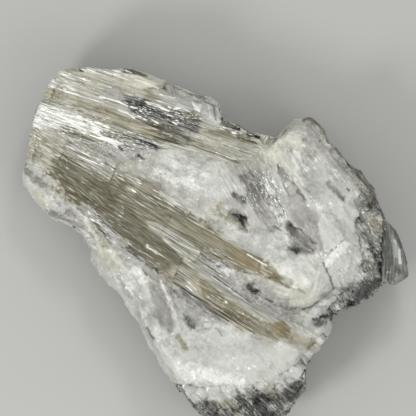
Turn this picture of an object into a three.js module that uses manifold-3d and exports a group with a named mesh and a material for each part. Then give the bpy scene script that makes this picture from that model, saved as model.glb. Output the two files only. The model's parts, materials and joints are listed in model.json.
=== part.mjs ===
// Hydroboracite specimen: three fans of silky bladed crystals bedded in a white fibrous matrix,
// with dark shale still on its lower end and right side, a brown rind and a glassy slab.
// Millimetres, +Z up. The piece lies on its back with the crystal face up: +X runs across the
// face, +Y up the face. The origin is the bottom centre of the whole piece.

import * as THREE from "three";
import { mergeVertices } from "three/addons/utils/BufferGeometryUtils.js";
import Module from "manifold-3d";

const wasm = await Module();
wasm.setup();

// ---------------------------------------------------------------- driving dimensions

const GAP = 0.3; // clearance between neighbouring pieces
const SEAT_HEIGHT = 13; // floor of the pockets that hold the crystal fans
const RIM_HEIGHT = 13; // height at which the piece is widest
const ABOVE_ALL = 45; // higher than any point of the piece
const BELOW_ALL = -1;
const FAN_LIFT = 1.5; // most that a fan stands above the matrix round it
const BLADE_RIDGE = 0.45; // crest of a blade above the furrows beside it
const BLADE_STEP = 1.3; // drop where a blade has snapped off
const LUMP_SIZE = 7; // spacing of the lumps on the matrix
const LUMP_HEIGHT = 0.8;
const KNOB_SIZE = 2.8; // spacing of the smaller knobs
const KNOB_HEIGHT = 0.4;
const LONG_EDGE = 5; // edges of the outline longer than this are divided in two
const FACE_MIDDLE = [0, 3.3]; // point of the face from which its rings spread

// Edge of the piece seen from above, clockwise from the top left corner, without the slab.
const OUTLINE = [
  [-41.8, 48], [-34.4, 48.6], [-29, 48], [-23.9, 48.4], [-19.6, 47.3], [-13.8, 44.9],
  [-8, 42.7], [-5, 41.3], [-0.9, 40.6], [1.2, 38.8], [1.8, 35.5], [2.8, 34.1],
  [5.5, 33.4], [9.5, 30.9], [14.2, 30.2], [16.6, 29.5], [18.2, 31.4], [20.7, 33.8],
  [24.2, 35.3], [26, 35.5], [28.8, 33], [31.2, 28.7], [37.1, 21.9], [39.6, 20.9],
  [43.2, 15.8], [44.4, 11.9], [46.6, 7.1], [47.4, 2], [47.1, -4], [45.8, -9.2],
  [43.2, -13], [40, -14.9], [34.8, -17], [32.4, -18.2], [31.7, -21.4], [31.3, -23.6],
  [27.7, -27.5], [24.8, -31.2], [24.2, -34.2], [24.2, -38.5], [22.3, -41.8], [18.8, -46.1],
  [12.6, -48.5], [6.1, -48.8], [-0.4, -47.7], [-4.2, -44.8], [-6.9, -42.1], [-10.9, -37.9],
  [-15.9, -30.7], [-18.1, -26.4], [-22.4, -18.6], [-26.7, -12.8], [-32, -7.1], [-33.9, -3.4],
  [-33.5, -0.6], [-36, 3.3], [-41.4, 6.9], [-45.3, 8.4], [-49.3, 12.6], [-52.5, 18],
  [-51.7, 21.9], [-50.2, 30.9], [-48.2, 37.3], [-45, 44.5],
];

// Heights of the face at places spread over it: x, y, height.
const FACE_HEIGHTS = [
  [-46, 42, 23], [-49, 32, 22.5], [-51, 20, 20.5], [-45, 11, 18.5], [-31, 47, 25],
  [-29, 37, 28], [-38, 25, 26.5], [-12, 43, 26], [-3, 38, 25], [-8, 31, 29], [10, 30, 28],
  [-18, 15, 31], [0, 20, 31.5], [-27, 9, 29.5], [-37, 6, 22.5], [-32, -4, 21.5],
  [-24, -14, 22.5], [-15, -7, 28.5], [-12, -24, 24.5], [-3, -30, 27.5], [-10, -38, 22.5],
  [11, -30, 29.5], [7, -43, 24], [23, -38, 24], [3, -10, 30], [20, -9, 33], [16, -24, 29.5],
  [29, -26, 25.5], [15, 11, 29], [23, 28, 28.5], [26, 34, 27], [31, 13, 31.5], [32, -1, 32],
  [41, 9, 27.5], [46, -1, 23.5], [37, -12, 26.5], [33, -16, 25],
];

// Ridges and furrows of the face: the line each follows, its height (a furrow's is negative)
// and its half width.
const FOLDS = [
  { line: [[1.8, -9.7], [12.6, -14], [20.1, -15.9], [26, -15.4], [32.5, -11.3]], height: -2.6, half: 1.7 },
  { line: [[9, -4.5], [18, -9], [26, -11.5]], height: 1.1, half: 3.6 },
  { line: [[7.5, 27.5], [12.6, 16.8], [19.5, 5.2]], height: -2, half: 2.8 },
  { line: [[14.7, 28], [21.7, 15.5], [25.7, 4]], height: 1.3, half: 2.2 },
  { line: [[21.7, 26.3], [27, 18], [31.8, 10.4]], height: -1.1, half: 1.5 },
  { line: [[29, -4], [32.4, -11]], height: -1.7, half: 1.3 },
  { line: [[29, 3], [36, -3]], height: 1, half: 2.6 },
  { line: [[-32, 5], [-18, -7.5], [-6, -16.5], [8, -25.6]], height: -1.9, half: 2.2 },
  { line: [[-50, 23], [-42, 18.5], [-35, 10]], height: -1.3, half: 1.8 },
  { line: [[-12.6, -11], [-8.5, -17], [-4.5, -23]], height: -1.8, half: 2.6 },
  { line: [[-28, -5], [-18.5, -22], [-11, -33]], height: 1.2, half: 2.4 },
  { line: [[-46, 13], [-38, 8]], height: 1.2, half: 3 },
];

// Pits broken into the matrix: x, y and radius.
const PITS = [
  [6.6, 7.6, 2.1],
  [-6.6, -19.9, 1.9],
  [21.4, -0.4, 2.2],
  [9.6, -10.2, 1.3],
];
const PIT_SINK = 0.35; // how far the middle of a pit lies under the face, as a share of its radius

// The three fans of blades. Each one's blades run between a start line and an end line, both
// given from their lower to their upper end. edge is the fan's own outline from above.
const FANS = {
  upper: {
    name: "upper_crystal_spray",
    start: [[-53.6, 32.2], [-53.6, 59.6]],
    end: [[16, 8.1], [16, 36.2]],
    blades: 12,
    edge: [
      [-54.4, 51.6], [-29, 50], [-19.6, 48.9], [-14.2, 44.6], [-15.5, 40.6], [-4.2, 37.6],
      [-4.7, 34.4], [9.3, 29.8], [13.1, 27.1], [9.9, 23.6], [6.1, 22.5], [-6.9, 26.3],
      [-20.4, 26.3], [-38.7, 29.2], [-54.4, 34.1],
    ],
    colour: 0xb4b09c,
  },
  central: {
    name: "central_crystal_spray",
    start: [[-55, 23.8], [-55, 41.6]],
    end: [[27, -21.8], [27, -10.7]],
    blades: 8,
    edge: [
      [-54.4, 33.5], [-38.7, 28.7], [-31.2, 26], [-26.9, 23], [-26.6, 20.3], [-17.7, 17.1],
      [-8.2, 9.5], [9.3, -1.8], [24.2, -12.1], [17.1, -9.1], [6.6, -6.7], [-4.2, -2.1],
      [-17.7, 5.5], [-33.3, 16], [-41.4, 20.3], [-54.4, 24.1],
    ],
    colour: 0xa6a08a,
  },
  lower: {
    name: "lower_crystal_spray",
    start: [[-48.1, 11.1], [-44.4, 26.5]],
    end: [[30.4, -38], [30.4, -25.6]],
    blades: 8,
    edge: [
      [-41.4, 19.8], [-33.3, 15.5], [-17.7, 4.9], [-4.2, -2.6], [1.8, -7.2], [8, -13.7],
      [14.7, -18.3], [24.2, -22.9], [28.8, -26.7], [27.1, -28.3], [20.1, -25.9], [6.6, -22.3],
      [-5.3, -14.2], [-15, -6.1], [-20.4, -4], [-31.2, 4.1], [-40.4, 14.9], [-43.6, 19.2],
    ],
    colour: 0x868270,
  },
};

// Places along the blades, from 0 to 1, where some of them have snapped off across.
const BREAKS = [0.1, 0.27, 0.45, 0.63, 0.82];
const BREAK_LENGTH = 0.007; // length of a broken face, as a share of the fan

// Shale and rind, as seen from above. low_shift moves a piece's lower edge in x and y, so that
// its joint with the matrix runs down at a slant.
const LOWER_SHALE = {
  name: "lower_shale",
  edge: [
    [-14, -41.5], [-8.8, -40.2], [-0.1, -40.4], [9.3, -39.4], [15.3, -38.3], [18.8, -35.6],
    [24.4, -33.2], [32, -33], [32, -56], [-14, -56],
  ],
  low_shift: [0, 5],
  colour: 0x5b5a57,
};
const SIDE_SHALE = {
  name: "side_shale",
  edge: [
    [32, -19.2], [35.2, -15.6], [38.5, -12.6], [40.6, -9.2], [41.6, -4.2], [40.8, 1.6],
    [39.6, 5.6], [42, 9.6], [52, 9], [54, -18], [36, -23],
  ],
  low_shift: [-5, 3],
  colour: 0x4f524c,
};
const BROWN_RIND = {
  name: "brown_rind",
  edge: [
    [25.2, 34.4], [27.9, 31.8], [30, 28.4], [33.1, 24.6], [36, 21.2], [38.9, 18], [41.4, 14.2],
    [42.9, 10.6], [52, 10], [46, 24], [34, 36], [26, 40],
  ],
  low_shift: [-2, -1.5],
  colour: 0x6e6a62,
};
const SHARPEST_CORNER = 0.3; // stops a grown outline from shooting out at its sharpest tips

// Furrows between the layers of the lower shale, each from one end to the other.
const SHALE_FURROWS = [
  [[-2, -40], [-3, -49]],
  [[8.5, -39], [4, -50]],
  [[16, -37], [11.5, -50]],
  [[23.5, -34.5], [17, -48]],
];
const FURROW_DEPTH = 1.5;
const FURROW_WIDTH = 2.4;

// Glassy slab that stands against the side shale, its top sloping down to the right.
const SLAB = {
  name: "glassy_slab",
  edge: [
    [45.6, 8], [48.6, 4.2], [50.8, -0.8], [52.5, -7.9], [48.9, -9.9], [46.6, -9.4], [46.4, -4],
  ],
  low: 10.5,
  high: 25.5,
  chamfer: 1.1,
  slope: 0.55, // fall of its top for each mm to the right
  colour: 0x8b8d8b,
};

// ---------------------------------------------------------------- small tools

const clamp01 = (value) => Math.min(1, Math.max(0, value));
const mix = (a, b, share) => a + (b - a) * share;

/** Repeatable number from 0 to 1 for one lattice point. */
function lattice(i, j, k) {
  let h = Math.imul(i, 374761393) ^ Math.imul(j, 668265263) ^ Math.imul(k, 1440662683);
  h = Math.imul(h ^ (h >>> 13), 1274126177);
  return ((h ^ (h >>> 16)) >>> 0) / 4294967296;
}

/** Smooth noise from -1 to 1 with one lump or hollow per unit. */
function noise(x, y, z) {
  const [i, j, k] = [x, y, z].map(Math.floor);
  const [u, v, w] = [x - i, y - j, z - k].map((t) => t * t * (3 - 2 * t));
  const row = (b, c) => mix(lattice(i, j + b, k + c), lattice(i + 1, j + b, k + c), u);
  return 2 * mix(mix(row(0, 0), row(1, 0), v), mix(row(0, 1), row(1, 1), v), w) - 1;
}

/** Distance from a point to a line of several points. */
function distanceToLine(x, y, line) {
  let nearest = Infinity;
  for (let n = 0; n + 1 < line.length; n += 1) {
    const [ax, ay] = line[n];
    const [dx, dy] = [line[n + 1][0] - ax, line[n + 1][1] - ay];
    const t = clamp01(((x - ax) * dx + (y - ay) * dy) / (dx * dx + dy * dy));
    nearest = Math.min(nearest, Math.hypot(x - ax - t * dx, y - ay - t * dy));
  }
  return nearest;
}

/** Outline moved outwards by an amount all round, with its corners kept sharp. */
function grown(outline, amount) {
  const corners = outline.map(([x, y]) => new THREE.Vector2(x, y));
  const turn = Math.sign(THREE.ShapeUtils.area(corners));
  const outward = (from, to) => {
    const side = to.clone().sub(from).normalize();
    return new THREE.Vector2(turn * side.y, -turn * side.x);
  };
  return corners.map((corner, n) => {
    const arriving = outward(corners.at(n - 1), corner);
    const leaving = outward(corner, corners[(n + 1) % corners.length]);
    const middle = arriving.clone().add(leaving).normalize();
    const reach = amount / Math.max(SHARPEST_CORNER, middle.dot(arriving));
    return corner.clone().addScaledVector(middle, reach).toArray();
  });
}

/** Turns a three.js geometry into a solid that can be joined and cut. */
function solidOf(geometry) {
  geometry.deleteAttribute("normal");
  geometry.deleteAttribute("uv");
  const merged = mergeVertices(geometry);
  return new wasm.Manifold(new wasm.Mesh({
    numProp: 3,
    vertProperties: new Float32Array(merged.attributes.position.array),
    triVerts: new Uint32Array(merged.index.array),
  }));
}

/** Turns a solid back into a named mesh with its own material. */
function meshOf(name, solid, colour, roughness) {
  const { vertProperties, triVerts, numProp } = solid.getMesh();
  const positions = [];
  for (let n = 0; n < vertProperties.length; n += numProp) {
    positions.push(vertProperties[n], vertProperties[n + 1], vertProperties[n + 2]);
  }
  const geometry = new THREE.BufferGeometry();
  geometry.setAttribute("position", new THREE.Float32BufferAttribute(positions, 3));
  geometry.setIndex([...triVerts]);
  geometry.computeVertexNormals();
  const material = new THREE.MeshStandardMaterial({ color: colour, roughness, metalness: 0 });
  const mesh = new THREE.Mesh(geometry, material);
  mesh.name = name;
  return mesh;
}

/** Upright block over an outline. Its lower edge can be shifted sideways. */
function block(outline, low, high, lowShift = [0, 0]) {
  const shape = new THREE.Shape(outline.map(([x, y]) => new THREE.Vector2(x, y)));
  const geometry = new THREE.ExtrudeGeometry(shape, { depth: high - low, bevelEnabled: false });
  const places = geometry.attributes.position;
  for (let n = 0; n < places.count; n += 1) {
    const share = 1 - places.getZ(n) / (high - low);
    const x = places.getX(n) + share * lowShift[0];
    const y = places.getY(n) + share * lowShift[1];
    places.setXYZ(n, x, y, places.getZ(n) + low);
  }
  return solidOf(geometry);
}

// ---------------------------------------------------------------- the stone as a whole

/** The rim: every corner of the outline, with a dented point halfway along its long edges. */
function rimPoints() {
  const points = [];
  OUTLINE.forEach(([x, y], n) => {
    const [nextX, nextY] = OUTLINE[(n + 1) % OUTLINE.length];
    points.push([x, y]);
    if (Math.hypot(nextX - x, nextY - y) > LONG_EDGE) {
      const dent = 1 - 0.006 * lattice(n, 5, 1);
      points.push([mix(x, nextX, 0.5) * dent, mix(y, nextY, 0.5) * dent]);
    }
  });
  return points.reverse();
}

const RIM = rimPoints();

/** Distance from a place on the face to the rim, along the line from the face's middle. */
function rimDistance(x, y) {
  const [mx, my] = FACE_MIDDLE;
  const [rx, ry] = [x - mx, y - my];
  const reach = Math.hypot(rx, ry);
  let share = Infinity;
  for (let n = 0; n < RIM.length; n += 1) {
    const [ax, ay] = [RIM[n][0] - mx, RIM[n][1] - my];
    const next = RIM[(n + 1) % RIM.length];
    const [dx, dy] = [next[0] - mx - ax, next[1] - my - ay];
    const cross = rx * dy - ry * dx;
    const along = (ax * dy - ay * dx) / cross;
    const beside = (ax * ry - ay * rx) / cross;
    if (along > 0 && beside >= 0 && beside <= 1) share = Math.min(share, along);
  }
  return reach > 0 && share < Infinity ? (share - 1) * reach : 20;
}

/** Width over which the face rolls over to the side: sharp where blades are snapped off. */
function rollWidth(x, y) {
  const brokenEnds = clamp01((-x - 30) / 10) * clamp01((y - 14) / 6);
  return mix(5, 2, brokenEnds);
}

/** Height of the face before it rolls over to the sides. */
function openFace(x, y) {
  let sum = 0;
  let weights = 0;
  for (const [px, py, height] of FACE_HEIGHTS) {
    const weight = 1 / (Math.hypot(x - px, y - py) ** 2.4 + 8);
    sum += weight * height;
    weights += weight;
  }
  const folds = FOLDS.reduce((total, fold) => {
    const away = distanceToLine(x, y, fold.line) / fold.half;
    return total + fold.height * Math.exp(-away * away);
  }, 0);
  const lumps = LUMP_HEIGHT * noise(x / LUMP_SIZE, y / LUMP_SIZE, 1);
  const knobs = KNOB_HEIGHT * noise(x / KNOB_SIZE, y / KNOB_SIZE, 5);
  return sum / weights + folds + lumps + knobs;
}

/** Height of the upper side of the stone, which drops to the rim along its edge. */
function faceHeight(x, y) {
  const roll = clamp01(1 - rimDistance(x, y) / rollWidth(x, y));
  return mix(openFace(x, y), rimHeight(x, y), roll ** 2.4);
}

/** Height of the rim, which wanders up and down round the stone. */
function rimHeight(x, y) {
  return RIM_HEIGHT + 2.5 * noise(x / 16, y / 16, 7);
}

// Rings of the stone. A face ring is a share of the way from the middle to the edge band, and an
// edge ring is a distance in from the rim. A back ring has its distance in from the rim, its
// height as a share of the rim's, how far it may be moved out or in, and how far it may be
// lifted. Inside them all the middle of the back is flat, and the piece rests on that flat.
const FACE_RINGS = [0, 0.13, 0.26, 0.38, 0.49, 0.59, 0.68, 0.77, 0.85, 0.93, 1];
const EDGE_RINGS = [2.6, 1.2, 0.35, 0];
const EDGE_BAND = 4.4; // width of the band that the edge rings divide
const BACK_RINGS = [
  { inward: 0.6, share: 0.72, rough: 1.2, lift: 0.8 },
  { inward: 2.2, share: 0.42, rough: 2.4, lift: 1.6 },
  { inward: 5.2, share: 0.17, rough: 2.6, lift: 2.4 },
  { inward: 11, share: 0.04, rough: 3, lift: 2.8 },
  { inward: 17, share: 0, rough: 2, lift: 1.8 },
];
const FLAT_SHARE = 0.42; // reach of the flat, as a share of the way from the middle to the rim

/** The whole stone as one closed solid. */
function stone() {
  const rows = FACE_RINGS.length + EDGE_RINGS.length + BACK_RINGS.length + 1;
  const geometry = new THREE.SphereGeometry(1, RIM.length, rows);
  const places = geometry.attributes.position;
  const perRow = RIM.length + 1;
  for (let n = 0; n < places.count; n += 1) {
    const [rx, ry] = RIM[(n % perRow) % RIM.length];
    places.setXYZ(n, ...ringPlace(Math.floor(n / perRow), rx, ry));
  }
  return solidOf(geometry);
}

/** Place of one corner of the stone, from its ring and the rim point that it lies towards. */
function ringPlace(row, rx, ry) {
  const [mx, my] = FACE_MIDDLE;
  const reach = Math.hypot(rx - mx, ry - my);
  const edgeRow = row - FACE_RINGS.length;
  const backRow = edgeRow - EDGE_RINGS.length;
  if (backRow > BACK_RINGS.length) return [mx, my, 0];
  if (backRow === BACK_RINGS.length) {
    return [mix(mx, rx, FLAT_SHARE), mix(my, ry, FLAT_SHARE), 0];
  }
  if (backRow >= 0) {
    const { inward, share, rough, lift } = BACK_RINGS[backRow];
    const wander = rough * (noise(rx / 6, ry / 6, backRow + 11) - 0.4);
    const way = 1 - Math.max(0, inward - wander) / reach;
    const raised = (lift * (1 + noise(rx / 5, ry / 5, backRow + 31))) / 2;
    return [mix(mx, rx, way), mix(my, ry, way), share * rimHeight(rx, ry) + raised];
  }
  const share = edgeRow < 0
    ? FACE_RINGS[row] * (1 - EDGE_BAND / reach)
    : 1 - EDGE_RINGS[edgeRow] / reach;
  const [x, y] = [mix(mx, rx, share), mix(my, ry, share)];
  return [x, y, edgeRow === EDGE_RINGS.length - 1 ? rimHeight(rx, ry) : faceHeight(x, y)];
}

// ---------------------------------------------------------------- crystal fans

/** Stations along a fan: its ends, both sides of every break and the middles between breaks. */
function stations() {
  const places = [0];
  for (const at of BREAKS) {
    places.push((places.at(-1) + at) / 2, at, at + BREAK_LENGTH);
  }
  places.push(1);
  return places;
}

const STATIONS = stations();

/** Steps of one blade above or below its fan's surface, one for each station. */
function bladeSteps(blade, seed) {
  let level = lattice(blade, seed, 2) - 0.5;
  let nextBreak = 0;
  return STATIONS.map((at) => {
    while (nextBreak < BREAKS.length && at > BREAKS[nextBreak]) {
      const snaps = lattice(blade, seed, nextBreak + 20) < 0.45;
      if (snaps) level = lattice(blade, seed, nextBreak + 40) - 0.5;
      nextBreak += 1;
    }
    return level * BLADE_STEP;
  });
}

/** Place in a fan, from how far along its blades and across them it lies. */
function fanPlace({ start, end }, along, across) {
  return [0, 1].map((axis) => {
    const lower = mix(start[0][axis], end[0][axis], along);
    const upper = mix(start[1][axis], end[1][axis], along);
    return mix(lower, upper, across);
  });
}

/** One fan: a comb of blades drawn along its length, trimmed to its outline and to the stone. */
function crystalFan(fan, seed, envelope) {
  const shape = new THREE.Shape();
  shape.moveTo(0, 0).lineTo(1, 0);
  for (let n = 2 * fan.blades; n >= 0; n -= 1) {
    shape.lineTo(n / (2 * fan.blades), 1);
  }
  const steps = STATIONS.length - 1;
  const geometry = new THREE.ExtrudeGeometry(shape, { depth: 1, steps, bevelEnabled: false });
  const bladeLevels = Array.from({ length: fan.blades }, (_, blade) => bladeSteps(blade, seed));
  const places = geometry.attributes.position;
  for (let n = 0; n < places.count; n += 1) {
    const across = places.getX(n);
    const station = Math.round(places.getZ(n) * steps);
    const along = STATIONS[station];
    const [x, y] = fanPlace(fan, along, across);
    if (places.getY(n) < 0.5) {
      places.setXYZ(n, x, y, SEAT_HEIGHT);
      continue;
    }
    const line = Math.round(across * 2 * fan.blades);
    const blade = Math.min(fan.blades - 1, Math.floor(line / 2));
    const crest = line % 2 === 1 ? BLADE_RIDGE : -BLADE_RIDGE * lattice(line, seed, station);
    const fade = clamp01((1 - along) / 0.12);
    const rise = FAN_LIFT / 2 + crest + bladeLevels[blade][station];
    places.setXYZ(n, x, y, faceHeight(x, y) + rise * fade);
  }
  const comb = solidOf(geometry);
  return comb.intersect(block(fan.edge, SEAT_HEIGHT, ABOVE_ALL)).intersect(envelope);
}

// ---------------------------------------------------------------- shale and slab

/** A V-shaped furrow cut into the face from one end point to the other. */
function furrow([[ax, ay], [bx, by]]) {
  const half = FURROW_WIDTH / 2;
  const corners = [[0, -FURROW_DEPTH], [half, half], [-half, half]];
  const shape = new THREE.Shape(corners.map(([across, up]) => new THREE.Vector2(across, up)));
  const geometry = new THREE.ExtrudeGeometry(shape, { depth: 1, steps: 3, bevelEnabled: false });
  const [alongX, alongY] = [bx - ax, by - ay];
  const length = Math.hypot(alongX, alongY);
  const places = geometry.attributes.position;
  for (let n = 0; n < places.count; n += 1) {
    const [across, up, along] = [places.getX(n), places.getY(n), places.getZ(n)];
    const [lineX, lineY] = [ax + alongX * along, ay + alongY * along];
    const x = lineX - (across * alongY) / length;
    const y = lineY + (across * alongX) / length;
    places.setXYZ(n, x, y, faceHeight(lineX, lineY) + up);
  }
  return solidOf(geometry);
}

/** The slab before it is fitted to the stone: chamfered all round, with a sloping top. */
function slabBlock({ edge, low, high, chamfer, slope }) {
  const shape = new THREE.Shape(edge.map(([x, y]) => new THREE.Vector2(x, y)));
  const geometry = new THREE.ExtrudeGeometry(shape, {
    depth: high - low - 2 * chamfer,
    bevelThickness: chamfer,
    bevelSize: chamfer,
    bevelOffset: -chamfer,
    bevelSegments: 1,
  });
  const places = geometry.attributes.position;
  const [left] = edge[0];
  for (let n = 0; n < places.count; n += 1) {
    const z = places.getZ(n) + low + chamfer;
    const fall = z > (low + high) / 2 ? slope * (places.getX(n) - left) : 0;
    places.setZ(n, z - fall);
  }
  return solidOf(geometry);
}

// ---------------------------------------------------------------- assembly

const whole = stone();
const risen = whole.translate([0, 0, FAN_LIFT]);
const seat = SEAT_HEIGHT - GAP;

let matrix = whole;
const pieces = [];

for (const part of [LOWER_SHALE, BROWN_RIND, SIDE_SHALE]) {
  const region = block(part.edge, BELOW_ALL, ABOVE_ALL, part.low_shift);
  const cut = block(grown(part.edge, GAP), BELOW_ALL, ABOVE_ALL, part.low_shift);
  const furrows = part === LOWER_SHALE ? SHALE_FURROWS : [];
  const solid = furrows.reduce(
    (rest, line) => rest.subtract(furrow(line)),
    matrix.intersect(region),
  );
  pieces.push(meshOf(part.name, solid, part.colour, 0.85));
  matrix = matrix.subtract(cut);
}

Object.values(FANS).forEach((fan, n) => {
  pieces.push(meshOf(fan.name, crystalFan(fan, n + 1, risen), fan.colour, 0.35));
  matrix = matrix.subtract(block(grown(fan.edge, GAP), seat, ABOVE_ALL));
});

for (const [x, y, radius] of PITS) {
  const hollow = new THREE.IcosahedronGeometry(radius, 1);
  hollow.translate(x, y, faceHeight(x, y) + PIT_SINK * radius);
  matrix = matrix.subtract(solidOf(hollow));
}

let slab = slabBlock(SLAB);
for (const shift of [[GAP, 0, 0], [0, GAP, 0], [0, -GAP, 0], [0, 0, GAP], [0, 0, -GAP]]) {
  slab = slab.subtract(whole.translate(shift));
}
pieces.push(meshOf(SLAB.name, slab, SLAB.colour, 0.15));
pieces.unshift(meshOf("white_matrix", matrix, 0xc2c3bb, 0.7));

const specimen = new THREE.Group();
specimen.name = "hydroboracite_specimen";
specimen.add(...pieces);

export default specimen;
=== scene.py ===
"""Hydroboracite specimen: three fans of silky crystal blades bedded in a white fibrous matrix.

Lengths are millimetres until a mesh is written, which is in metres. +X runs across the crystal
face, +Y up the face and +Z out of it. Places on the face are counted in squares of SQUARE
millimetres, rightwards and downwards from the face's upper left corner, as on squared paper
laid over it.
"""

from __future__ import annotations

import itertools
import json
import logging
import math
from collections.abc import Iterator
from contextlib import contextmanager
from dataclasses import dataclass, field
from enum import Enum

import bpy
import numpy as np
from mathutils import Vector
from mathutils.bvhtree import BVHTree
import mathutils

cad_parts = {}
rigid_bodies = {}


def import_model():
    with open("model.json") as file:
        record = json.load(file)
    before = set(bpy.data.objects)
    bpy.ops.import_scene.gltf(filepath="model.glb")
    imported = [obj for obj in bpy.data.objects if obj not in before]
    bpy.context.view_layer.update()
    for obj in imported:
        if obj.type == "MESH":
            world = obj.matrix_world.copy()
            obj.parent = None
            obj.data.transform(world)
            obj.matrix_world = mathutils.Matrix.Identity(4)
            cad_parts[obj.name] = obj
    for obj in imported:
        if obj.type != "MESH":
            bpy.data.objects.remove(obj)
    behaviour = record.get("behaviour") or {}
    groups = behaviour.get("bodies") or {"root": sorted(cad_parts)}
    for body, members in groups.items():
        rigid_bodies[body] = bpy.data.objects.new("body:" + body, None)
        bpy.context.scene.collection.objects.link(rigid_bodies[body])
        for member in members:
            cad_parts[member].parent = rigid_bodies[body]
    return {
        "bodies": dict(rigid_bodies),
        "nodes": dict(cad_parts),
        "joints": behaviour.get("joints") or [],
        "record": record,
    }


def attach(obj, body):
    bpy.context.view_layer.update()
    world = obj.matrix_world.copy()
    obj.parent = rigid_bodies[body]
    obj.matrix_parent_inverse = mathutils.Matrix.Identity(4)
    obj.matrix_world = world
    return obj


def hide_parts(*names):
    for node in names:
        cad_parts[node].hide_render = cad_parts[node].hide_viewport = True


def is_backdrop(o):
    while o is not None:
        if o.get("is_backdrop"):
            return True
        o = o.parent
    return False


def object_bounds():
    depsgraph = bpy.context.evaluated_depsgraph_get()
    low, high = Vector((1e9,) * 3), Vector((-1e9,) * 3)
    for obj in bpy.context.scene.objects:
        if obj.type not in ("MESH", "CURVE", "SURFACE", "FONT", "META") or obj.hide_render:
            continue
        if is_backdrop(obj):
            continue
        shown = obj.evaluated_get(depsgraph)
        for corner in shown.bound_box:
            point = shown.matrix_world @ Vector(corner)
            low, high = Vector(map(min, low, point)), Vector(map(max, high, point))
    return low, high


log = logging.getLogger("specimen")

Array = np.ndarray
Thing = bpy.types.Object
Socket = bpy.types.NodeSocket
Pair = tuple[float, float]

MM = 0.001  # metres in a millimetre
SQUARE = 0.27  # side of one square of the face's grid
ORIGIN_SQUARE = (215.5, 247.25)  # squares right and down to the place over the origin
SPRAY_NODES = ("upper_crystal_spray", "central_crystal_spray", "lower_crystal_spray")
SLAB_NODE = "glassy_slab"
BODY = "root"
WELD = 0.02  # millimetres within which corners of a solid count as one

# Edge of the whole piece from above, in millimetres, clockwise from its top left corner.
RIM = (
    (-41.8, 48), (-34.4, 48.6), (-29, 48), (-23.9, 48.4), (-19.6, 47.3), (-13.8, 44.9),
    (-8, 42.7), (-5, 41.3), (-0.9, 40.6), (1.2, 38.8), (1.8, 35.5), (2.8, 34.1),
    (5.5, 33.4), (9.5, 30.9), (14.2, 30.2), (16.6, 29.5), (18.2, 31.4), (20.7, 33.8),
    (24.2, 35.3), (26, 35.5), (28.8, 33), (31.2, 28.7), (37.1, 21.9), (39.6, 20.9),
    (43.2, 15.8), (44.4, 11.9), (46.6, 7.1), (47.4, 2), (47.1, -4), (45.8, -9.2),
    (43.2, -13), (40, -14.9), (34.8, -17), (32.4, -18.2), (31.7, -21.4), (31.3, -23.6),
    (27.7, -27.5), (24.8, -31.2), (24.2, -34.2), (24.2, -38.5), (22.3, -41.8), (18.8, -46.1),
    (12.6, -48.5), (6.1, -48.8), (-0.4, -47.7), (-4.2, -44.8), (-6.9, -42.1), (-10.9, -37.9),
    (-15.9, -30.7), (-18.1, -26.4), (-22.4, -18.6), (-26.7, -12.8), (-32, -7.1), (-33.9, -3.4),
    (-33.5, -0.6), (-36, 3.3), (-41.4, 6.9), (-45.3, 8.4), (-49.3, 12.6), (-52.5, 18),
    (-51.7, 21.9), (-50.2, 30.9), (-48.2, 37.3), (-45, 44.5),
)


class Tone(Enum):
    """What a mark puts on the face: a colour, or how fibrous the surface is."""

    TAN = "tan"
    GOLD = "gold"
    GREY = "grey"
    WHITE = "white"
    CREAM = "cream"
    # how densely painted glints, and dark specks between them, are strewn
    SPARK = "spark"
    PLAIN = "plain"  # how far the fibres and grains are hidden


@dataclass(frozen=True)
class Mark:
    """A streak or patch of one tone: a line with soft sides, in squares of the face's grid.

    A mark paints over earlier marks of its tone, so a weak one lightens what is under it.
    """

    tone: Tone
    start: Pair
    end: Pair
    half: float
    strength: float
    taper: float = 1.0  # half width at the end, as a share of that at the start


@dataclass(frozen=True)
class Step:
    """The snapped end of a layer of blades: a low cliff across the fibres."""

    start: Pair  # in squares
    end: Pair
    height: float  # millimetres by which the layer stands out at the cliff
    length: float  # squares over which it sinks back behind the cliff


@dataclass(frozen=True)
class Fold:
    """A ridge along a line, or a crease where its height is negative."""

    line: tuple[Pair, ...]  # in squares
    half: float  # half width in squares
    height: float  # millimetres


# ---------------------------------------------------------------- noise


LATTICE_PRIMES = (374761393, 668265263, 1440662683)
WORD = 0xFFFFFFFF


def lattice(cells: Array, seed: int) -> Array:
    """Repeatable numbers from 0 to 1, one for each cell.

    Args:
        cells: Whole-number coordinates, one row a cell.
        seed: Picks one of many sets of numbers.

    Returns:
        One number a row.
    """
    code = np.full(len(cells), (seed * 2654435761 + 97) & WORD, np.uint32)
    for axis in range(cells.shape[1]):
        column = cells[:, axis].astype(np.int64) * LATTICE_PRIMES[axis] & WORD
        code ^= column.astype(np.uint32)
        code = (code ^ (code >> np.uint32(13))) * np.uint32(1274126177)
    code ^= code >> np.uint32(16)
    return code / 4294967296.0


def noise(points: Array, size: float | tuple[float, ...], seed: int) -> Array:
    """Smooth noise from -1 to 1.

    Args:
        points: Places, one a row.
        size: Spacing of its lumps, one number or one for each axis.
        seed: Picks the pattern.

    Returns:
        One number a row.
    """
    scaled = points / np.asarray(size, float)
    base = np.floor(scaled)
    share = scaled - base
    share = share * share * (3 - 2 * share)
    total = np.zeros(len(points))
    for corner in itertools.product((0, 1), repeat=points.shape[1]):
        weight = np.prod(np.where(np.array(corner) == 1, share, 1 - share), axis=1)
        total += weight * lattice(base + corner, seed)
    return 2 * total - 1


def fractal(points: Array, size: float | tuple[float, ...], seed: int,
            octaves: int = 3) -> Array:
    """Noise with finer noise added on it.

    Args:
        points: Places, one a row.
        size: Spacing of the largest lumps.
        seed: Picks the pattern.
        octaves: How many layers, each half the size and height of the one before.

    Returns:
        One number a row, mostly between -1 and 1.
    """
    size = np.asarray(size, float)
    layers = (0.5 ** k * noise(points, tuple(np.atleast_1d(size) * 0.5 ** k), seed + k)
              for k in range(octaves))
    return sum(layers) * 1.15


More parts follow.
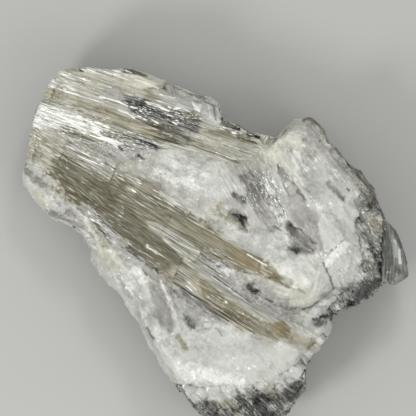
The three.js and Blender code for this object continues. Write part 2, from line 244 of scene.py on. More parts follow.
def facets(points: Array, size: float, seed: int, steps: float = 0.7) -> Array:
    """Height of a surface broken into small tilted faces, from about -1 to 1.

    Args:
        points: Places, one a row.
        size: Spacing of the faces.
        seed: Picks the pattern.
        steps: How far neighbouring faces may stand above each other.

    Returns:
        One number a row.
    """
    scaled = points / size
    base = np.floor(scaled)
    nearest = np.full(len(points), np.inf)
    height = np.zeros(len(points))
    for step in itertools.product((-1, 0, 1), repeat=points.shape[1]):
        cell = base + step
        offset = np.stack([lattice(cell, seed + k) for k in range(points.shape[1])], axis=1)
        reach = scaled - cell - offset
        distance = np.sum(reach * reach, axis=1)
        tilt = np.stack([2 * lattice(cell, seed + 11 + k) - 1
                         for k in range(points.shape[1])], axis=1)
        level = np.sum(reach * tilt, axis=1) + steps * (2 * lattice(cell, seed + 23) - 1)
        nearer = distance < nearest
        nearest = np.where(nearer, distance, nearest)
        height = np.where(nearer, level, height)
    return height


def smooth(low: float, high: float, values: Array) -> Array:
    """Values turned into a soft step that is 0 at low and 1 at high."""
    share = np.clip((values - low) / (high - low), 0, 1)
    return share * share * (3 - 2 * share)


def blades(along: Array, across: Array, width: float, length: float,
           seed: int) -> tuple[Array, Array, Array]:
    """Blades lying side by side, each snapped across into lengths.

    Args:
        along: Distance along the blades.
        across: Distance across them.
        width: Mean width of a blade.
        length: Mean length between snapped ends.
        seed: Picks the pattern.

    Returns:
        Each place's level from -1 to 1 and tilt from -1 to 1, and how far across its own blade
        it lies, from -0.5 to 0.5.
    """
    wander = 0.4 * noise(np.stack([along / 22, across / width * 0.45], axis=1), 1.0, seed)
    row_place = across / width + wander
    row = np.floor(row_place)
    rows = row[:, None]
    shift = lattice(rows, seed + 3) * 7
    stretch = 0.7 + 0.9 * lattice(rows, seed + 4)
    column = np.floor(along / (length * stretch) + shift)
    cell = np.stack([row, column], axis=1)
    level = 2 * lattice(cell, seed + 5) - 1
    tilt = 2 * lattice(cell, seed + 6) - 1
    return level, tilt, row_place - row - 0.5


# ---------------------------------------------------------------- the stone's shape


def to_squares(places: Array) -> Array:
    """Millimetres on the face turned into squares of its grid."""
    return np.stack([places[:, 0] / SQUARE + ORIGIN_SQUARE[0],
                     ORIGIN_SQUARE[1] - places[:, 1] / SQUARE], axis=1)


def from_squares(squares: Array) -> Array:
    """Squares of the face's grid turned into millimetres on it."""
    return np.stack([(squares[:, 0] - ORIGIN_SQUARE[0]) * SQUARE,
                     (ORIGIN_SQUARE[1] - squares[:, 1]) * SQUARE], axis=1)


def heading(degrees: float) -> tuple[Array, Array]:
    """Turns an angle into directions on the face.

    Args:
        degrees: How steeply lines sink to the right.

    Returns:
        Unit directions along the lines and across them.
    """
    turn = math.radians(-degrees)
    ahead = np.array([math.cos(turn), math.sin(turn)])
    return ahead, np.array([-ahead[1], ahead[0]])


def beside(squares: Array, start: Pair, end: Pair) -> tuple[Array, Array]:
    """Measures how places lie to a line.

    Args:
        squares: Places in squares, one a row.
        start: Start of the line.
        end: Its end.

    Returns:
        Shares of the line at the places' nearest points on it, and distances to those points.
    """
    start = np.array(start, float)
    line = np.array(end, float) - start
    t = np.clip((squares - start) @ line / max(float(line @ line), 1e-6), 0, 1)
    return t, np.hypot(*(squares - start - t[:, None] * line).T)


def paced(squares: Array, start: Pair, end: Pair) -> tuple[Array, Array, float]:
    """Measures how far places lie ahead on a line and to its side.

    Args:
        squares: Places in squares, one a row.
        start: Start of the line.
        end: Its end.

    Returns:
        Distances ahead of the start, distances to the side, and the line's length.
    """
    line = np.array(end, float) - start
    span = float(np.hypot(*line))
    line /= span
    from_start = squares - np.array(start, float)
    return from_start @ line, from_start @ np.array([-line[1], line[0]]), span


class Outline:
    """The edge of the whole piece as seen from above."""

    def __init__(self, corners: tuple[Pair, ...]) -> None:
        """Keeps the corners, which run round the edge in order."""
        self.corners = np.array(corners, float)

    def measure(self, places: Array) -> tuple[Array, Array]:
        """Finds how deep places lie inside the edge, and their nearest points on it.

        Args:
            places: Places on the face, one a row.

        Returns:
            Distances to the edge, negative outside it, and the nearest points.
        """
        nearest = np.full(len(places), np.inf)
        point = np.zeros_like(places)
        inside = np.zeros(len(places), bool)
        for a, b in zip(self.corners, np.roll(self.corners, -1, axis=0)):
            side = b - a
            t = np.clip((places - a) @ side / (side @ side), 0, 1)
            foot = a + t[:, None] * side
            distance = np.hypot(*(places - foot).T)
            nearer = distance < nearest
            nearest = np.where(nearer, distance, nearest)
            point = np.where(nearer[:, None], foot, point)
            crosses = (a[1] > places[:, 1]) != (b[1] > places[:, 1])
            if crosses.any():
                reach = a[0] + (places[:, 1] - a[1]) / (b[1] - a[1] + 1e-12) * side[0]
                inside ^= crosses & (places[:, 0] < reach)
        return np.where(inside, nearest, -nearest), point


@dataclass(frozen=True)
class Patch:
    """An area with crisp sides, in squares of the face's grid."""

    corners: tuple[Pair, ...]
    tones: dict[Tone, float]
    lift: float = 0.0  # millimetres by which it stands out
    soft: float = 0.8  # half width of its soft edge

    def cover(self, squares: Array) -> Array:
        """Tells how much of each place the area covers.

        Args:
            squares: Places in squares, one a row.

        Returns:
            One number a place, from 0 to 1.
        """
        corners = np.array(self.corners, float)
        low, high = corners.min(axis=0) - self.soft, corners.max(axis=0) + self.soft
        near = np.all((squares > low) & (squares < high), axis=1)
        found = np.zeros(len(squares))
        depth, _ = Outline(self.corners).measure(squares[near])
        found[near] = smooth(-self.soft, self.soft, depth)
        return found


def blurred(grid: Array, sigma: float) -> Array:
    """Softens a grid of numbers.

    Args:
        grid: The numbers.
        sigma: How far each spreads, in cells.

    Returns:
        The softened grid.
    """
    reach = int(math.ceil(3 * sigma))
    steps = np.arange(-reach, reach + 1)
    weights = np.exp(-0.5 * (steps / sigma) ** 2)
    weights /= weights.sum()
    for axis in (0, 1):
        padded = np.pad(grid, [(reach, reach) if a == axis else (0, 0) for a in (0, 1)],
                        mode="edge")
        grid = sum(w * np.take(padded, range(k, k + grid.shape[axis]), axis=axis)
                   for k, w in enumerate(weights))
    return grid


def closed(grid: Array) -> Array:
    """Fills slots of one cell in a grid of heights.

    Args:
        grid: The heights.

    Returns:
        The filled grid.
    """
    for pick in (np.maximum, np.minimum):
        for axis in (0, 1):
            grid = pick(pick(grid, np.roll(grid, 1, axis)), np.roll(grid, -1, axis))
    return grid


class FaceMap:
    """Heights of the face and the reach of each part of it, measured on the solids from above."""

    STEP = 0.5  # side of a cell of the maps
    LOW = (-56.0, -52.0)
    HIGH = (56.0, 52.0)
    TOP = 60.0  # height that the rays start from
    ROLL = 2.6  # width of the band along the rim where the solids roll over to their sides
    HEIGHT_SOFT, SHARE_SOFT = 1.2, 1.6  # how far the maps are softened, in cells

    def __init__(self, nodes: dict[str, Thing], outline: Outline) -> None:
        """Measures the solids.

        Args:
            nodes: The CAD nodes by name.
            outline: Edge of the whole piece.
        """
        self.outline = outline
        self.xs = np.arange(self.LOW[0], self.HIGH[0] + self.STEP / 2, self.STEP)
        self.ys = np.arange(self.LOW[1], self.HIGH[1] + self.STEP / 2, self.STEP)
        heights, owners = self._cast(nodes)
        found = ~np.isnan(heights)
        grid = np.stack(np.meshgrid(self.xs, self.ys, indexing="ij"), axis=-1).reshape(-1, 2)
        depth = outline.measure(grid)[0].reshape(heights.shape)
        heights = closed(np.where(found, heights, 0))
        self.height = self._spread(heights, found & (depth > self.ROLL), self.HEIGHT_SOFT)
        self.height += folded(FACE_LIFTS, to_squares(grid)).reshape(heights.shape)
        self.shares = {}
        for name in nodes:
            inner = found & (depth > (1.0 if name in SPRAY_NODES else 0.0))
            owned = (owners == name).astype(float)
            self.shares[name] = self._spread(owned, inner, self.SHARE_SOFT)

    def _cast(self, nodes: dict[str, Thing]) -> tuple[Array, Array]:
        """Drops a ray at each place of the grid.

        Args:
            nodes: The CAD nodes by name.

        Returns:
            The heights at which the rays meet the solids, and the names of the nodes they meet.
        """
        corners: list[Vector] = []
        faces: list[tuple[int, ...]] = []
        face_owner: list[str] = []
        for name, node in nodes.items():
            if name == SLAB_NODE:
                continue
            base = len(corners)
            corners += [v.co / MM for v in node.data.vertices]
            for face in node.data.polygons:
                faces.append(tuple(base + v for v in face.vertices))
                face_owner.append(name)
        tree = BVHTree.FromPolygons(corners, faces)
        heights = np.full((len(self.xs), len(self.ys)), np.nan)
        owners = np.full(heights.shape, "", dtype=object)
        down = Vector((0, 0, -1))
        for i, x in enumerate(self.xs):
            for j, y in enumerate(self.ys):
                place, _, face, _ = tree.ray_cast(Vector((x, y, self.TOP)), down)
                if place is not None:
                    heights[i, j] = place.z
                    owners[i, j] = face_owner[face]
        return heights, owners

    @staticmethod
    def _spread(values: Array, known: Array, sigma: float) -> Array:
        """Softens values and carries them on over the places where they aren't known.

        Args:
            values: A grid of numbers.
            known: Where they are known.
            sigma: How far they are softened, in cells.

        Returns:
            The whole grid.
        """
        result = np.zeros_like(values)
        done = np.zeros_like(known)
        for width in (sigma, 2.5 * sigma, 6 * sigma, 14 * sigma):
            weight = blurred(known.astype(float), width)
            spread = blurred(np.where(known, values, 0.0), width) / np.maximum(weight, 1e-9)
            fresh = ~done & (weight > (0.25 if width == sigma else 0.02))
            result = np.where(fresh, spread, result)
            done |= fresh
        return result

    def sample(self, grid: Array, places: Array) -> Array:
        """Reads one of the maps at places on the face.

        Args:
            grid: The map.
            places: Places in millimetres, one a row.

        Returns:
            One number a row.
        """
        col = np.clip((places[:, 0] - self.xs[0]) / self.STEP, 0, len(self.xs) - 1.001)
        row = np.clip((places[:, 1] - self.ys[0]) / self.STEP, 0, len(self.ys) - 1.001)
        i, j = col.astype(int), row.astype(int)
        u, v = col - i, row - j
        return ((grid[i, j] * (1 - u) + grid[i + 1, j] * u) * (1 - v)
                + (grid[i, j + 1] * (1 - u) + grid[i + 1, j + 1] * u) * v)

    def height_at(self, places: Array) -> Array:
        """Height of the face, carried on level over the rim."""
        return self.sample(self.height, places)

    def share_at(self, name: str, places: Array) -> Array:
        """How much of the face round each place belongs to a part, from 0 to 1."""
        return self.sample(self.shares[name], places)


# ---------------------------------------------------------------- fibre directions


@dataclass(frozen=True)
class Grain:
    """A zone of the matrix where the fibres run one way."""

    centre: Pair  # in squares
    reach: float  # in squares
    angle: float  # degrees below the line to the right
    plain: float = 0.3  # how plainly the fibres show


FAN_CENTRE = (-90.9, 59.2)  # the place that the fibres of the fans would meet at
FAN_REACH = 92.0  # distance from there at which an angle is turned into a width
OPEN_PLAIN = 0.35  # how plainly the fibres show outside the zones
GRAINS = (
    Grain((262, 180), 48, 60, 0.9),
    Grain((300, 230), 50, 58, 0.4),
    Grain((340, 170), 42, 52, 0.5),
    Grain((350, 260), 40, 55, 0.6),
    Grain((240, 405), 60, 50, 0.7),
    Grain((290, 390), 40, 54, 0.7),
    Grain((130, 300), 60, 52),
    Grain((160, 350), 45, 50),
    Grain((45, 195), 30, 48),
)


def fibre_frame(places: Array) -> tuple[Array, ...]:
    """Fibre directions of the matrix, and distances along and across the fibres.

    Args:
        places: Places on the face in millimetres, one a row.

    Returns:
        Unit directions, distances along, distances across and how plainly the fibres show.
    """
    from_centre = places - np.array(FAN_CENTRE)
    reach = np.hypot(*from_centre.T)
    direction = from_centre / reach[:, None]
    squares = to_squares(places)
    best = np.full(len(places), 1.0)
    plain = np.full(len(places), OPEN_PLAIN)
    along, across = reach, np.arctan2(-from_centre[:, 1], from_centre[:, 0]) * FAN_REACH
    for grain in GRAINS:
        away = np.hypot(*(squares - np.array(grain.centre)).T) / grain.reach
        away = away + 0.25 * noise(places, 2.5, 71)
        ahead, aside = heading(grain.angle)
        nearer = away < best
        best = np.where(nearer, away, best)
        direction = np.where(nearer[:, None], ahead, direction)
        along = np.where(nearer, places @ ahead, along)
        across = np.where(nearer, places @ aside, across)
        plain += (grain.plain - plain) * smooth(1.1, 0.6, away)
    return direction, along, across, plain


# ---------------------------------------------------------------- marks on the face


def streaked_places(places: Array, direction: Array, along: Array,
                    across: Array, sway: float, slip: float = 1.0) -> tuple[
                        Array, Array]:
    """Squares of places, shifted by noise along the fibres so that marks end in streaks.

    Args:
        places: Places on the face in millimetres.
        direction: Unit direction of the fibres at each.
        along: Distance along the fibres.
        across: Distance across them.
        sway: How far they are shifted across the fibres, in millimetres.
        slip: How far they are shifted along the fibres, in millimetres.

    Returns:
        Places in squares for broad marks, and less shifted ones for thin lines.
    """
    frame = np.stack([along, across], axis=1)
    slide = slip * (1.3 * noise(frame, (9.0, 0.5), 41) + 0.9 * noise(frame, (5.0, 1.1), 42))
    side = np.stack([-direction[:, 1], direction[:, 0]], axis=1)
    shift = sway * (noise(places, 1.3, 43) + 0.5 * noise(places, 0.6, 44))
    swayed = places + shift[:, None] * side
    return to_squares(swayed + slide[:, None] * direction), to_squares(swayed)


def table(*items: Tone | tuple[float, ...] | Patch) -> tuple[Mark | Patch, ...]:
    """Reads a table of marks and areas of the face.

    Args:
        items: A tone and then its marks, each as its start, end, half width, strength and, if it
            has one, taper; then another tone and its marks. Areas stand anywhere between.

    Returns:
        The marks and areas in order.
    """
    found, tone = [], None
    for item in items:
        if isinstance(item, Tone):
            tone = item
        elif isinstance(item, Patch):
            found.append(item)
        else:
            found.append(Mark(tone, item[:2], item[2:4], *item[4:]))
    return tuple(found)


THIN = 1.6  # half width in squares under which a mark is a line
FINEST = 0.2  # half width of the finest line
MARK_EDGE = (1.5, 0.4)  # where a mark has gone and where it is whole, in half widths


def painted(marks: tuple[Mark | Patch, ...], squares: tuple[Array, Array],
            tones: dict[Tone, Array], ragged: Array) -> dict[Tone, Array]:
    """Paints marks one after another.

    Args:
        marks: The marks in order.
        squares: Places in squares for broad marks, and those for thin lines.
        tones: Starting amount of each tone, one number a place.
        ragged: How far the marks' edges are eaten into at each place, in half widths.

    Returns:
        The amount of each tone after all the marks.
    """
    tones = {tone: amount.copy() for tone, amount in tones.items()}
    for mark in marks:
        if isinstance(mark, Patch):
            cover = mark.cover(squares[1])
            for tone, strength in mark.tones.items():
                tones[tone] += (strength - tones[tone]) * cover
            continue
        t, away = beside(squares[mark.half < THIN], mark.start, mark.end)
        half = np.maximum(mark.half * (1 + (mark.taper - 1) * t), FINEST)
        cover = smooth(*MARK_EDGE, away / half + ragged * min(1, mark.half / 2))
        tones[mark.tone] += (mark.strength - tones[mark.tone]) * cover
    return tones


def folded(folds: tuple[Fold, ...], squares: Array) -> Array:
    """Sums the heights of ridges and creases in millimetres.

    Args:
        folds: The ridges and creases.
        squares: Places in squares, one a row.

    Returns:
        One height a place.
    """
    total = np.zeros(len(squares))
    for fold in folds:
        away = np.full(len(squares), np.inf)
        for a, b in zip(fold.line, fold.line[1:]):
            away = np.minimum(away, beside(squares, a, b)[1])
        total += fold.height * np.exp(-((away / fold.half) ** 2))
    return total


TAN, GOLD, GREY, WHITE, CREAM, SPARK, PLAIN = Tone

UPPER_MARKS = table(
    # crust of white grains along the top edge, tan under it
    TAN, (90, 84, 158, 92, 11, 0.34), (66, 70, 90, 72, 4, 0.5), (80, 70, 87, 71, 2, 0.95),
    (128, 71, 142, 75, 3, 1),
    PLAIN, (96, 82, 150, 92, 8, 0.7),
    WHITE, (86, 70, 124, 76, 4, 0.75), (127, 72, 133, 73, 0.74, 0.9),
    (136, 80, 159, 88, 1.49, 0.8),
    GREY, (128, 70, 142, 74, 1.49, 0.75),
    Patch(((125, 74), (140, 76), (158, 86), (152, 92), (134, 88), (124, 84)),
          {CREAM: 0.8, TAN: 0.12, PLAIN: 0.6}, 0.2, 1.5),
    Patch(((104, 90), (117, 88), (121, 97), (118, 101), (106, 99)),
          {TAN: 0.1, GREY: 0.2, PLAIN: 0.7}, 0.2),
    TAN, (148, 96, 158, 88, 3.5, 0.7), (146, 99, 158, 101, 2, 0.9),
    GREY, (150, 96, 158, 88, 3, 0.35), (160, 84, 168, 82, 2, 0.6),
    # white facets and lines at the left of the top, partly painted glints
    WHITE, (48, 80, 70, 88, 5.5, 0.85), (60, 74, 92, 84, 3, 0.6), (52, 87, 104, 103, 0.93, 0.9),
    # olive band
    TAN, (44, 92, 120, 116, 7, 0.38), (40, 91, 60, 94, 3.5, 0.35), (80, 104, 126, 122, 5, 0.6),
    PLAIN, (40, 90, 112, 112, 5, 0.45),
    CREAM, (37, 92, 62, 96, 5, 0.6),
    # bright silky band at the left end: white fibres with a painted sheen
    WHITE, (36, 114, 104, 130, 12, 0.66, 0.5), (36, 110, 84, 122, 10, 0.98, 0.35),
    (34, 120, 66, 131, 7, 0.85, 0.4), (38, 104, 110, 127, 1.36, 0.85),
    (70, 117, 88, 132, 3.4, 0.95), (93, 129, 99, 132, 2.6, 1), (98, 137, 117, 145, 3.6, 1),
    (95, 141, 101, 144, 1.12, 1),
    TAN, (66, 130, 104, 142, 4.5, 0.62), (100, 126, 126, 138, 6, 0.75),
    # dark sparkling zone
    TAN, (134, 112, 192, 130, 11, 0.5), (112, 117, 140, 128, 7, 0.7), (110, 124, 190, 142, 8, 0.6),
    PLAIN, (114, 118, 138, 127, 5, 0.6),
    GREY, (136, 107, 192, 124, 10, 0.82), (127, 101, 142, 106, 3, 0.72),
    (143, 106, 153, 114, 5, 0.95), (136, 111, 170, 124, 2, 0.85), (142, 118, 180, 130, 6, 0.74),
    (118, 134, 156, 144, 4, 0.5), (138, 140, 158, 148, 3, 0.75), (119, 147, 123, 150, 1.2, 0.9),
    (104, 100, 134, 110, 0.8, 0.6), (113, 123, 133, 131, 1.3, 0.7),
    WHITE, (124, 138, 156, 150, 3, 0.4), (128, 132, 136, 134, 0.8, 0.9),
    # glassy lobes at the right of the top
    GREY, (168, 92, 222, 108, 12, 0.22), (202, 99, 214, 106, 0.9, 0.7),
    (214, 106, 216, 120, 0.9, 0.7), (188, 94, 204, 96, 0.9, 0.6), (220, 104, 222, 116, 1.2, 0.6),
    PLAIN, (168, 92, 222, 108, 12, 0.8),
    WHITE, (196, 98, 208, 104, 0.9, 0.9), (208, 104, 212, 120, 0.9, 0.9),
    (206, 97, 217, 104, 0.8, 0.85), (217, 104, 219, 116, 0.8, 0.85), (176, 104, 186, 112, 3, 0.6),
    (204, 120, 218, 124, 4, 0.5), (170, 88, 190, 96, 5, 0.4),
    Patch(((185, 113), (194, 111), (200, 117), (198, 125), (187, 124)),
          {GREY: 0.55, TAN: 0.85, PLAIN: 0.7}, -0.4, 1.4),
    Patch(((191, 102), (202, 104), (200, 113), (195, 110)), {WHITE: 1.4, GREY: 0.0}, 0.3),
    Patch(((222, 121), (235, 124), (252, 133), (258, 139), (244, 140), (226, 134)),
          {GREY: 0.2, SPARK: 0.8, CREAM: 0.5}, 0.3),
    GREY, (224, 121, 238, 123, 0.9, 0.9), (236, 124, 256, 137, 1, 0.95),
    (246, 130, 254, 137, 2, 0.7),
    # olive and tan tail
    TAN, (158, 132, 192, 143, 8, 0.9),
    Patch(((158, 126), (172, 128), (192, 140), (190, 147), (174, 144), (160, 136)),
          {TAN: 1.0, GREY: 0.6, PLAIN: 0.8, SPARK: 0.0}, 0.0, 1.2),
    TAN, (185, 128, 255, 142, 7, 0.3), (190, 146, 240, 160, 6, 0.3),
    (178, 138, 238, 162, 2.2, 0.7), (252, 145, 268, 160, 6, 0.15), (207, 131, 255, 142, 3, 0.7),
    CREAM, (186, 128, 250, 148, 9, 0.6), (200, 140, 262, 156, 7, 0.8),
    PLAIN, (188, 128, 262, 154, 9, 0.55),
    GREY, (176, 137, 214, 155, 0.7, 0.7), (214, 155, 237, 163, 0.6, 0.65),
    WHITE, (216, 153, 236, 160, 0.6, 0.7), (190, 134, 225, 146, 0.87, 0.55),
)

CENTRAL_MARKS = table(
    # block of parallel blades at the left
    TAN, (26, 140, 62, 160, 13, 0.38),
    WHITE, (34, 136, 62, 150, 0.74, 0.62), (32, 143, 60, 157, 0.74, 0.66),
    (30, 149, 56, 161, 0.68, 0.62), (40, 137, 66, 148, 0.62, 0.55),
    GREY, (64, 153, 60, 160, 0.74, 0.7),
    # slab of white-lined blades that ends sharply
    Patch(((66, 145), (80, 141), (100, 152), (118, 161), (113, 179), (98, 178), (78, 168),
           (63, 160)), {TAN: 0.4, GREY: 0.26, PLAIN: 0.2}, 0.3),
    Patch(((64, 161), (80, 170), (98, 180), (114, 182), (122, 194), (106, 196), (86, 188),
           (68, 176), (58, 165)), {TAN: 0.9, PLAIN: 0.6}, -0.25),
    WHITE, (66, 146, 112, 164, 0.81, 0.66), (68, 152, 114, 170, 0.81, 0.7),
    (72, 160, 110, 178, 0.74, 0.62), (98, 160, 116, 168, 2, 0.7), (78, 134, 100, 146, 3, 0.45),
    GREY, (70, 150, 114, 167, 0.6, 0.6), (72, 157, 112, 174, 0.6, 0.6),
    (113, 178, 117, 164, 0.68, 0.7), (84, 138, 140, 158, 9, 0.34), (119, 147, 123, 150, 1.2, 0.8),
    (139, 156, 144, 160, 1.1, 0.85), (110, 154, 116, 158, 1.1, 0.6),
    # body of the spear
    TAN, (80, 178, 150, 208, 12, 0.82), (116, 186, 214, 240, 10, 0.86),
    (150, 214, 240, 264, 10, 0.82), (100, 192, 128, 214, 8, 0.95),
    PLAIN, (84, 182, 236, 256, 12, 0.6),
    Patch(((142, 180), (152, 182), (160, 190), (160, 196), (148, 194), (140, 188)),
          {TAN: 0.75, PLAIN: 0.9}),
    WHITE, (154, 190, 176, 201, 0.81, 0.78), (152, 195, 174, 206, 0.74, 0.74),
    (104, 178, 150, 198, 0.62, 0.47), (120, 194, 160, 214, 0.62, 0.43),
    (187, 218, 214, 233, 0.74, 0.62), (215, 240, 228, 252, 0.74, 0.47),
    (247, 254, 268, 266, 0.74, 0.74), (222, 236, 262, 258, 0.68, 0.66),
    (220, 253, 246, 265, 0.68, 0.55), (281, 279, 297, 289, 0.74, 0.78),
    CREAM, (176, 208, 232, 238, 4, 0.4),
    TAN, (228, 247, 288, 286, 5.5, 0.85, 0.3),
    GOLD, (190, 228, 262, 264, 6, 0.35),
    PLAIN, (232, 250, 290, 286, 8, 1, 0.3),
    Patch(((230, 246), (244, 250), (268, 262), (284, 278), (276, 282), (256, 272),
           (236, 262)), {GOLD: 0.9, TAN: 0.9, PLAIN: 1.0}, 0.0, 1.2),
    GOLD, (284, 284, 302, 292, 1.6, 0.6),
    GREY, (296, 288, 304, 293, 0.68, 0.5),
    TAN, (232, 276, 262, 290, 5, 0.2),
)

LOWER_MARKS = table(
    # dark olive belt
    TAN, (66, 176, 178, 270, 16, 0.94), (110, 206, 176, 268, 11, 1),
    PLAIN, (110, 206, 176, 262, 12, 0.6),
    GREY, (90, 196, 172, 266, 10, 0.42), (120, 222, 144, 246, 4, 0.5),
    WHITE, (70, 182, 98, 206, 0.6, 0.39), (74, 180, 106, 204, 0.62, 0.51),
    (88, 200, 124, 228, 0.6, 0.39), (96, 204, 124, 224, 0.62, 0.55),
    (98, 214, 122, 236, 0.6, 0.39), (132, 235, 142, 243, 0.6, 0.39),
    (84, 190, 120, 214, 0.62, 0.39),
    # plain brown block with a sharp end
    Patch(((140, 228), (150, 230), (162, 240), (182, 257), (178, 268), (174, 279), (162, 266),
           (146, 250), (136, 238)), {TAN: 1.0, PLAIN: 0.85, GREY: 0.2}, 0.25, 0.7),
    GREY, (174, 277, 182, 262, 0.7, 0.6),
    # white-lined slab above the belt
    TAN, (200, 256, 220, 270, 5, 0.3),
    Patch(((147, 220), (158, 223), (183, 237), (202, 251), (200, 259), (187, 262), (178, 253),
           (162, 237), (149, 227)), {TAN: 0.34, GREY: 0.14, PLAIN: 0.0}, 0.2, 1.0),
    WHITE, (152, 226, 172, 240, 0.6, 0.55), (160, 228, 190, 246, 0.6, 0.58),
    (163, 238, 190, 260, 0.8, 0.7), (176, 238, 200, 252, 0.7, 0.55),
    (198, 250, 202, 258, 0.8, 0.62), (184, 254, 216, 276, 0.7, 0.47),
    # the grey line from (201, 254) to (222, 268) is painted shadow beyond the slab's rounded end
    GREY, (156, 226, 180, 242, 0.6, 0.6), (166, 236, 194, 254, 0.6, 0.6),
    (172, 234, 198, 250, 0.6, 0.5), (201, 254, 222, 268, 1.12, 0.75),
    (182, 258, 214, 280, 0.6, 0.5),
    # second block
    TAN, (180, 274, 272, 330, 12, 0.72), (178, 272, 196, 288, 8, 0.6),
    GREY, (180, 268, 200, 292, 9, 0.3), (178, 271, 200, 288, 0.6, 0.6),
    (177, 278, 196, 293, 0.6, 0.6), (182, 276, 186, 284, 0.6, 0.7), (188, 285, 193, 296, 0.6, 0.6),
    (183, 280, 196, 292, 0.6, 0.6), (182, 288, 228, 320, 1.49, 0.75),
    (232, 296, 268, 318, 3, 0.25), (246, 306, 270, 322, 0.8, 0.6), (236, 312, 262, 330, 0.7, 0.5),
    WHITE, (180, 263, 202, 279, 0.6, 0.39), (178, 268, 198, 284, 0.6, 0.47),
    (176, 275, 200, 294, 0.6, 0.39), (190, 282, 214, 296, 0.6, 0.47),
    (214, 290, 262, 316, 0.68, 0.47), (224, 304, 252, 318, 0.68, 0.43),
    (235.6, 306, 225, 316, 0.6, 0.43), (251, 314, 242, 326, 0.6, 0.43),
    (240, 300, 232, 310, 0.5, 0.47), (258, 316, 252, 324, 0.5, 0.47),
    (223, 313, 231, 324, 0.6, 0.55), (230, 313, 238, 322, 0.5, 0.47),
    Patch(((198, 278), (214, 282), (240, 298), (262, 316), (250, 321), (226, 310),
           (204, 296)), {TAN: 0.92, GOLD: 0.5, PLAIN: 0.7}, 0.15, 1.2),
    TAN, (208, 300, 250, 326, 5, 0.9), (228, 298, 266, 322, 6, 0.86),
    Patch(((196, 263), (222, 278), (262, 302), (284, 316), (282, 320), (268, 322), (255, 315),
           (236, 302), (219, 290), (200, 274)), {TAN: 0.12, GREY: 0.3, PLAIN: 0.2,
                                                 WHITE: 0.2}, 0.0, 1.6),
    GREY, (214, 276, 250, 302, 0.7, 0.7), (226, 290, 262, 312, 0.7, 0.6),
    WHITE, (206, 272, 246, 300, 0.62, 0.55), (232, 292, 268, 314, 0.6, 0.47),
    # gold end and tan tail
    GOLD, (200, 284, 262, 318, 8, 0.4), (288, 336, 312, 346, 4.5, 0.5, 0.7),
    PLAIN, (200, 284, 314, 346, 9, 0.6),
    TAN, (290, 330, 322, 348, 14, 0), (290, 337, 318, 348, 4.6, 0.34),
    (304, 338, 318, 344, 2, 0.25),
    GREY, (298, 340, 322, 356, 14, 0.03), (304, 338, 318, 348, 4, 0),
    CREAM, (290, 336, 320, 346, 7, 0.6),
    Patch(((271, 324), (282, 319), (291, 327), (288, 338), (278, 336), (268, 330)),
          {GOLD: 0.9, TAN: 0.88, GREY: 0.1, CREAM: 0.1, PLAIN: 0.4}, 0.0, 1.8),
    GREY, (272, 325, 286, 334, 0.6, 0.6), (268, 330, 280, 337, 0.6, 0.5),
    WHITE, (274, 330, 288, 338, 0.6, 0.39), (279, 327, 268, 339, 0.6, 0.43),
    (283, 337, 295, 346, 0.6, 0.62), (276, 342, 273, 350, 0.8, 0.62),
    Patch(((80, 202), (90, 206), (104, 218), (120, 236), (140, 257), (158, 273), (170, 284),
           (158, 284), (140, 268), (118, 254), (102, 240), (90, 224)),
          {TAN: 0.2, GREY: 0.3, PLAIN: 0.0, WHITE: 0.2, SPARK: 0.5}, -0.15, 2.0),
    GREY, (96, 222, 110, 244, 1.2, 0.7), (98, 214, 122, 240, 1, 0.6),
    (128, 246, 158, 272, 2.6, 0.72),
    WHITE, (88, 210, 98, 232, 1, 0.7), (112, 240, 122, 250, 1.6, 0.6),
    TAN, (94, 222, 106, 246, 3.5, 0.6),
)

